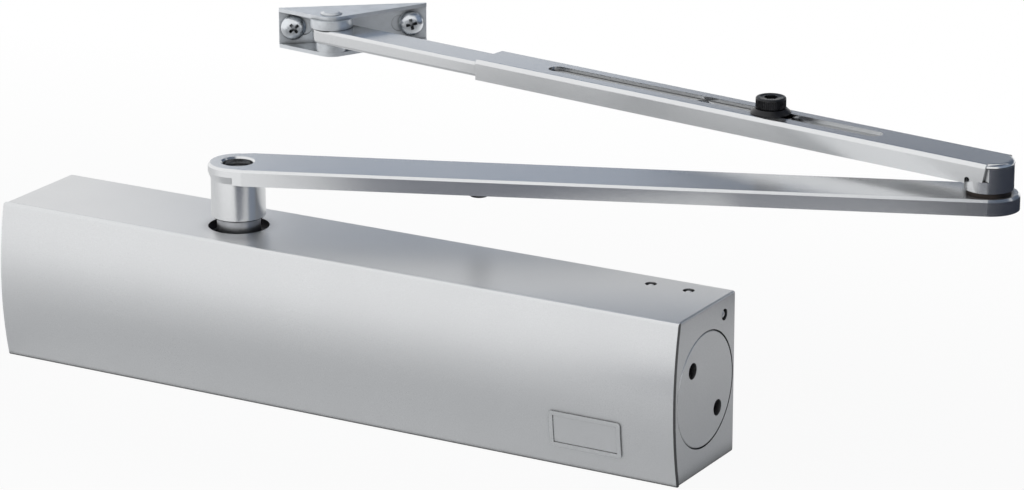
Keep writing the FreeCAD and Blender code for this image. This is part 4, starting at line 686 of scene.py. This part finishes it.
class CloserSizes(bpy.types.PropertyGroup):
    """Sizes of the screws, the buffer and the spring, which are modelled here."""

    clamp_head_radius: span("Clamp head radius", 5.75 * MM, "Radius of the knurled head")
    clamp_head_height: span("Clamp head height", 4.1 * MM, "Height of the knurled head")
    clamp_rounding: span("Clamp head rounding", 0.6 * MM, "Rounding of the head's upper edge")
    clamp_knurl: span("Knurl depth", 0.28 * MM, "Depth of the flutes between the ribs")
    clamp_shank_radius: span("Clamp shank radius", 3.0 * MM, "Radius over the clamp's thread")
    hexagon_width: span("Socket width", 5.0 * MM, "Across the flats of the hexagon socket")
    hexagon_depth: span("Socket depth", 2.6 * MM, "Depth of the hexagon socket")
    screw_head_radius: span("Screw head radius", 5.1 * MM, "Radius of a bracket screw's head")
    screw_head_height: span("Screw head height", 3.0 * MM, "Height of a bracket screw's head")
    screw_radius: span("Screw radius", BRACKET_MOUNT["dims"]["stud_r_mm"] * MM,
                       "Radius over a bracket screw's thread")
    screw_length: span("Screw length", 14.8 * MM, "Length of the shank under the head")
    screw_spacing: span("Screw spacing", BRACKET_MOUNT["dims"]["pcd_mm"] * MM,
                        "Distance between the bracket screws")
    cross_length: span("Recess length", 6.6 * MM, "Tip to tip of the cross recess")
    cross_width: span("Recess width", 1.8 * MM, "Width of the recess at its mouth")
    cross_depth: span("Recess depth", 2.2 * MM, "Depth of the cross recess")
    buffer_radius: span("Buffer radius", 3.9 * MM, "Radius of the buffer under the main arm")
    buffer_height: span("Buffer height", 3.5 * MM, "Height of the buffer below the main arm")
    buffer_pin_radius: span("Buffer pin radius", 1.8 * MM, "Radius of the buffer's pin")
    buffer_pin_length: span("Buffer pin length", 3.5 * MM, "Length of the pin in the arm")
    sheet: span("Bracket sheet", 1.5 * MM, "Thickness of the bracket's sheet")
    spring_wire: span("Spring wire", 4.2 * MM, "Thickness of the main spring's wire")
    spring_turns: bpy.props.IntProperty(name="Spring turns", default=12, min=4, max=20,
                                        description="Turns of the main spring")
    clamp_ribs: bpy.props.IntProperty(name="Clamp ribs", default=48, min=12, max=96,
                                      description="Ribs round the knurled head")


class CloserColours(bpy.types.PropertyGroup):
    """Colours of the finishes."""

    body: paint("Body", (0.75, 0.755, 0.76), "Silver lacquer of the cast body")
    cover: paint("Cover", (0.795, 0.805, 0.815), "Silver lacquer of the front cover")
    arms: paint("Arms", (0.8, 0.81, 0.82), "Silver lacquer of both arms")
    zinc: paint("Zinc", (0.8, 0.83, 0.86), "Bright zinc plate of bracket and screws")
    steel: paint("Steel", (0.55, 0.56, 0.58), "Ground steel of the mechanism")
    spring: paint("Spring", (0.16, 0.17, 0.2), "Oiled spring wire")
    black: paint("Black oxide", (0.012, 0.012, 0.014), "Clamp screw, washer and hub screw")
    rubber: paint("Rubber", (0.025, 0.025, 0.026), "Buffer and seals")
    # Painted shade: the knuckle bush is coloured nearly black for the shadow in the gap under the
    # knuckle
    bronze: paint("Bronze", (0.06, 0.05, 0.045), "Oil-dark sintered bush of the knuckle")
    brass: paint("Brass", (0.74, 0.56, 0.27), "Turned brass of the valves")


# Operators, one for each piece or group of like pieces

class CLOSER_OT_paint_body(bpy.types.Operator):
    """Lacquer the cast body with its ball plugs, its cover and its end plugs"""

    bl_idname = "closer.paint_body"
    bl_label = "Body and Cover"

    def execute(self, context):
        colours = context.scene.closer_colours
        wear(("housing", "channel_balls"),
             silver_lacquer("body lacquer", colours.body, BODY_METAL, BODY_DULLNESS,
                            reach=8 * MM))
        half_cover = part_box("front_cover")[1].x
        # The cover's cut ends get painted shade of the gap at its ends
        wear(("front_cover",),
             silver_lacquer("cover lacquer", colours.cover, BODY_METAL, COVER_DULLNESS,
                            end_shade_from=half_cover - TINY))
        # The end plugs' grooves take near-black painted shade
        wear(("left_end_plug", "right_end_plug"),
             silver_lacquer("plug lacquer", colours.body, BODY_METAL, BODY_DULLNESS,
                            groove_shade=0.03, reach=6 * MM))
        wear(("badge",),
             silver_lacquer("badge satin", colours.cover, BADGE_METAL, BADGE_DULLNESS))
        return {"FINISHED"}


class CLOSER_OT_paint_arms(bpy.types.Operator):
    """Lacquer the main arm, the forearm and the knuckle"""

    bl_idname = "closer.paint_arms"
    bl_label = "Arms"

    def execute(self, context):
        colours = context.scene.closer_colours
        wear(("main_arm",),
             silver_lacquer("main arm lacquer", colours.arms, ARM_METAL, ARM_DULLNESS))
        # The forearm's slot and gaps take dark painted shade
        wear(("forearm_channel", "knuckle_post"),
             silver_lacquer("forearm lacquer", colours.arms, ARM_METAL, ARM_DULLNESS,
                            groove_shade=0.12, reach=5 * MM))
        wear(("forearm_rod",),
             silver_lacquer("rod lacquer", colours.arms, ARM_METAL, ARM_DULLNESS,
                            groove_shade=0.12, reach=5 * MM))
        return {"FINISHED"}


class CLOSER_OT_plate_bracket(bpy.types.Operator):
    """Plate the bracket, its pin, the bushes and the washers with bright zinc"""

    bl_idname = "closer.plate_bracket"
    bl_label = "Bracket and Pin"

    def execute(self, context):
        zinc = context.scene.closer_colours.zinc
        wear(("frame_bracket",), bright_zinc("bracket zinc", zinc, BRACKET_DULLNESS, 4 * MM))
        for name in ("bracket_pin", "upper_bush", "lower_bush", "post_washer", "arm_washer",
                     "bearing_cap"):
            wear((name,), turned_metal(name + " zinc", zinc, middle(name), UPRIGHT,
                                       TURNED_ZINC_PITCH, TURNED_ZINC_DULLNESS))
        return {"FINISHED"}


class CLOSER_OT_finish_mechanism(bpy.types.Operator):
    """Finish the gear, piston, bearings and valves inside the body"""

    bl_idname = "closer.finish_mechanism"
    bl_label = "Mechanism"

    def execute(self, context):
        colours = context.scene.closer_colours
        for name in ("pinion_shaft", "upper_bearing", "lower_bearing", "upper_needles",
                     "lower_needles", "retaining_ring"):
            wear((name,), turned_metal(name + " steel", colours.steel, middle(name), UPRIGHT))
        for name in ("piston", "check_ball", "check_ring", "spring_seat"):
            wear((name,), turned_metal(name + " steel", colours.steel, middle(name), LENGTHWISE))
        for name in ("speed_valve", "latch_valve"):
            wear((name,), turned_metal(name + " brass", colours.brass, middle(name), OUTWARD))
        # The bush's near-black colour is painted shade of the gap under the knuckle
        wear(("knuckle_bush",), sintered_bronze("bush bronze", colours.bronze))
        return {"FINISHED"}


class CLOSER_OT_finish_black_parts(bpy.types.Operator):
    """Finish the hub's black screw, the clamp screw's washer and the seals"""

    bl_idname = "closer.finish_black_parts"
    bl_label = "Black Parts"

    def execute(self, context):
        colours = context.scene.closer_colours
        wear(("arm_screw", "clamp_washer"), black_oxide("black oxide", colours.black))
        wear(("shaft_seal", "cap_seal", "piston_seal", "left_plug_seal",
              "right_plug_seal", "speed_valve_seal", "latch_valve_seal"),
             moulded_rubber("black rubber", colours.rubber))
        return {"FINISHED"}


class CLOSER_OT_make_clamp_screw(bpy.types.Operator):
    """Model the knurled clamp screw on the forearm"""

    bl_idname = "closer.make_clamp_screw"
    bl_label = "Clamp Screw"

    def execute(self, context):
        sizes = context.scene.closer_sizes
        screw = knurled_screw(sizes)
        centre = middle("clamp_screw")
        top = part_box("clamp_screw")[1].z
        move_to(screw, (centre.x, centre.y, top - sizes.clamp_head_height))
        smooth(screw)
        dress(screw, black_oxide("clamp screw oxide", context.scene.closer_colours.black))
        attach(screw, "clamp_screw")
        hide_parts("clamp_screw")
        return {"FINISHED"}


class CLOSER_OT_wind_spring(bpy.types.Operator):
    """Wind the main spring at its rest length; the piston presses the real spring together as it
    slides, which this spring does not follow
    """

    bl_idname = "closer.wind_spring"
    bl_label = "Main Spring"

    def execute(self, context):
        sizes = context.scene.closer_sizes
        low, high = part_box("main_spring")
        centre = middle("main_spring")
        length = high.x - low.x
        radius = (high.z - low.z - sizes.spring_wire) / 2
        spring = coil_spring(sizes, length, radius)
        move_to(spring, centre)
        smooth(spring)
        dress(spring, oiled_wire("spring wire", context.scene.closer_colours.spring))
        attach(spring, "base")
        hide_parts("main_spring")
        stroke = next(joint["range_m"][1] for joint in FRAME["joints"]
                      if joint["name"] == "piston_slide")
        1 - stroke / length
        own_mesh(spring)
        return {"FINISHED"}


class CLOSER_OT_make_buffer(bpy.types.Operator):
    """Model the rubber buffer under the main arm"""

    bl_idname = "closer.make_buffer"
    bl_label = "Buffer"

    def execute(self, context):
        sizes = context.scene.closer_sizes
        buffer = rubber_buffer(sizes)
        centre = middle("arm_buffer")
        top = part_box("arm_buffer")[1].z
        move_to(buffer, (centre.x, centre.y, top - sizes.buffer_pin_length))
        smooth(buffer)
        dress(buffer, moulded_rubber("buffer rubber", context.scene.closer_colours.rubber))
        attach(buffer, "spindle")
        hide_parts("arm_buffer")
        return {"FINISHED"}


class CLOSER_OT_make_bracket_screws(bpy.types.Operator):
    """Model the two cross-recess screws of the bracket"""

    bl_idname = "closer.make_bracket_screws"
    bl_label = "Bracket Screws"

    def execute(self, context):
        sizes = context.scene.closer_sizes
        inward = Vector(BRACKET_MOUNT["axis"]).normalized()
        along = Vector((inward.y, -inward.x, 0.0))
        seat = Vector(BRACKET_MOUNT["pos_m"]) - inward * sizes.sheet
        left = cross_screw(sizes)
        smooth(left)
        dress(left, bright_zinc("screw zinc", context.scene.closer_colours.zinc,
                                SCREW_DULLNESS))
        right = left.copy()
        right.data = left.data.copy()
        rename(right, "bracket_screw_right")
        context.collection.objects.link(right)
        facing = (-inward).to_track_quat("Z", "Y").to_matrix().to_4x4()
        for screw, side, turn in ((left, -1, LEFT_SCREW_TURN), (right, 1, RIGHT_SCREW_TURN)):
            place = Matrix.Translation(seat + along * side * sizes.screw_spacing / 2)
            screw.matrix_world = place @ facing @ Matrix.Rotation(math.radians(turn), 4, "Z")
            set_place(screw)
            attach(screw, "bracket")
            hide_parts("bracket_screws")
        return {"FINISHED"}


# Stage

WHITE = (1.0, 1.0, 1.0, 1.0)
PAPER = (0.9, 0.9, 0.9, 1.0)
# Glow of the cards that only reflections show: painted reflections of a dark room
REFLECTED_DUSK = (0.22, 0.27, 0.355, 1.0)
REFLECTED_NIGHT = (0.085, 0.11, 0.155, 1.0)
REFLECTED_DIM = (0.15, 0.16, 0.19, 1.0)
REFLECTED_BLACK = (0.012, 0.016, 0.03, 1.0)
ROOM_TINT, ROOM_STRENGTH = (0.93, 0.96, 1.0, 1.0), 0.33
KEY_PLACE, KEY_AIM = (-0.9, -1.0, 1.1), (-0.1, 0, 0)
KEY_SIZE, KEY_POWER, KEY_TINT = 1.5, 7.0, (1.0, 0.99, 0.97)
FLOOR_SIZE = 14.0
FLOOR_OVAL = (0.45, 1.0, 1.0)
# Where the floor's fade to white starts and ends, and its share of white at both
SEEN_FADE = (0.1, 0.4, 0.93, 1.0)
MIRRORED_FADE = (0.09, 0.3, 0.12, 1.0)
CAMERA_PLACE = (0.7719, -1.2570, 0.4946)
CAMERA_ACROSS = (0.8679, 0.4968, 0.0)
CAMERA_UP = (-0.1510, 0.2638, 0.9527)
CAMERA_BACK = (0.4733, -0.8268, 0.3040)
CAMERA_LENS, CAMERA_SENSOR, CAMERA_NEAR = 147.1, 36.0, 0.05


def lamp(name, place, aim, size, power, tint):
    """A square soft box that faces the point aim; metal shows the white room in its place."""
    start_piece()
    bpy.ops.object.light_add(type="AREA", location=place)
    box = rename(bpy.context.object, name)
    box.data.shape = "SQUARE"
    box.data.size = size
    box.data.energy = power
    box.data.color = tint
    box.rotation_euler = (Vector(aim) - Vector(place)).to_track_quat("-Z", "Y").to_euler()
    box.visible_glossy = False


def reflection_card(name, place, turn, size, tint):
    """A dark card that glows in its tint and that only reflections show, a painted reflection of a
    dark room; it casts no shadow and lights no surface.
    """
    start_piece()
    bpy.ops.mesh.primitive_plane_add(size=1.0, location=place, rotation=turn)
    card = bpy.context.object
    card.name = name
    card.scale = size + (1.0,)
    set_place(card)
    finish = Finish(name)
    # Painted reflection: the card glows in its dark tint
    dress(card, finish.cover(finish.light("ShaderNodeEmission", tint)))
    card.visible_camera = False
    card.visible_diffuse = False
    card.visible_shadow = False


class CLOSER_OT_make_stage(bpy.types.Operator):
    """Set up the pale floor, the soft light, the dark glowing cards of painted reflection and the
    camera
    """

    bl_idname = "closer.make_stage"
    bl_label = "Stage"

    def execute(self, context):
        self.lay_floor()
        self.light_room(context.scene)
        self.hang_cards()
        self.set_camera(context.scene)
        context.scene.view_settings.view_transform = "Standard"
        return {"FINISHED"}

    def lay_floor(self):
        """A pale floor that keeps a soft shadow and ends in white, for the eye and in metal."""
        start_piece()
        bpy.ops.mesh.primitive_plane_add(size=FLOOR_SIZE, location=(0, 0, CAD_BOX[0][2]))
        floor = bpy.context.object
        floor.name = "floor"
        finish = Finish("pale floor")
        paper = finish.node("ShaderNodeBsdfDiffuse", None, {"Color": PAPER})
        white = finish.light("ShaderNodeEmission", WHITE)
        oval = finish.node("ShaderNodeMapping", None,
                           {"Vector": finish.place, "Scale": FLOOR_OVAL})
        distance = finish.node("ShaderNodeVectorMath", {"operation": "LENGTH"}, {0: oval}, "Value")
        mirror = finish.ray("Glossy") + finish.ray("Transmission")
        share = finish.ray("Camera") * finish.remap(distance, *SEEN_FADE)
        share = share + mirror * finish.remap(distance, *MIRRORED_FADE)
        mixed = finish.node("ShaderNodeMixShader", None, {0: share, 1: paper, 2: white})
        dress(floor, finish.cover(mixed))

    def light_room(self, scene):
        """A white room for the eye and for reflections, a dimmer one as light, and a soft box."""
        world = bpy.data.worlds.new("studio")
        world.use_nodes = True
        scene.world = world
        room = Board(world.node_tree)
        seen = room.ray("Camera")
        for kind in ("Glossy", "Transmission"):
            seen = room.node("ShaderNodeMath", {"operation": "MAXIMUM"},
                             {0: seen, 1: room.ray(kind)})
        dim = room.light("ShaderNodeBackground", ROOM_TINT, ROOM_STRENGTH)
        white = room.light("ShaderNodeBackground", WHITE)
        mixed = room.node("ShaderNodeMixShader", None, {0: seen, 1: dim, 2: white})
        room.node("ShaderNodeOutputWorld", None, {"Surface": mixed})
        lamp("key", KEY_PLACE, KEY_AIM, KEY_SIZE, KEY_POWER, KEY_TINT)

    def hang_cards(self):
        """The dark glowing cards that metal and lacquer mirror: painted reflections of a dark room.
        """
        ground = CAD_BOX[0][2]
        quarter = math.pi / 2
        level = (0, 0, 0)
        leaning = (quarter, math.radians(8), 0)
        sideways = (quarter, 0, quarter)
        for name, place, turn, size, tint in (
                ("flag behind", (0.24, 1.0, 0.69), leaning, (1.92, 0.9), REFLECTED_DUSK),
                ("flag behind, right", (0.42, 0.99, 0.69), leaning, (1.56, 0.9), REFLECTED_NIGHT),
                ("flag in front", (0.63, -0.64, ground + MM), level, (1.18, 0.94), REFLECTED_DIM),
                ("flag beside", (0.76, 0.35, ground + 2 * MM), level, (0.98, 1.2), REFLECTED_BLACK),
                ("flag past the end", (0.24, 0.55, ground + MM), level, (0.1, 0.8), REFLECTED_BLACK),
                ("flag at the right", (1.25, 0.4, ground + 0.6), sideways, (1.6, 1.2), REFLECTED_DUSK),
                ("flag above", (0.95, 0.0, ground + 1.5), level, (1.2, 2.2), REFLECTED_NIGHT)):
            reflection_card(name, place, turn, size, tint)

    def set_camera(self, scene):
        """The camera of the picture: long lens, from the right and above."""
        start_piece()
        bpy.ops.object.camera_add()
        camera = bpy.context.object
        camera.name = "camera"
        turn = Matrix((CAMERA_ACROSS, CAMERA_UP, CAMERA_BACK)).transposed().to_4x4()
        camera.matrix_world = Matrix.Translation(CAMERA_PLACE) @ turn
        camera.data.sensor_width = CAMERA_SENSOR
        camera.data.lens = CAMERA_LENS
        camera.data.clip_start = CAMERA_NEAR
        scene.camera = camera


STEPS = (
    CLOSER_OT_paint_body, CLOSER_OT_paint_arms, CLOSER_OT_plate_bracket,
    CLOSER_OT_finish_mechanism, CLOSER_OT_finish_black_parts, CLOSER_OT_make_clamp_screw,
    CLOSER_OT_wind_spring, CLOSER_OT_make_buffer, CLOSER_OT_make_bracket_screws,
    CLOSER_OT_make_stage,
)


class CLOSER_PT_panel(bpy.types.Panel):
    """The steps that dress the door closer."""

    bl_idname = "CLOSER_PT_panel"
    bl_label = "Door Closer"
    bl_space_type = "VIEW_3D"
    bl_region_type = "UI"
    bl_category = "Door Closer"

    def draw(self, context):
        for group in (context.scene.closer_sizes, context.scene.closer_colours):
            for name in group.__annotations__:
                self.layout.prop(group, name)
        for step in STEPS:
            self.layout.operator(step.bl_idname)


CLASSES = (CloserSizes, CloserColours) + STEPS + (CLOSER_PT_panel,)


def register():
    for item in CLASSES:
        bpy.utils.register_class(item)
    bpy.types.Scene.closer_sizes = bpy.props.PointerProperty(type=CloserSizes)
    bpy.types.Scene.closer_colours = bpy.props.PointerProperty(type=CloserColours)


def unregister():
    del bpy.types.Scene.closer_colours
    del bpy.types.Scene.closer_sizes
    for item in reversed(CLASSES):
        bpy.utils.unregister_class(item)


def main():
    register()
    for step in STEPS:
        group, name = step.bl_idname.split(".")
        getattr(getattr(bpy.ops, group), name)()


if __name__ == "__main__":
    main()
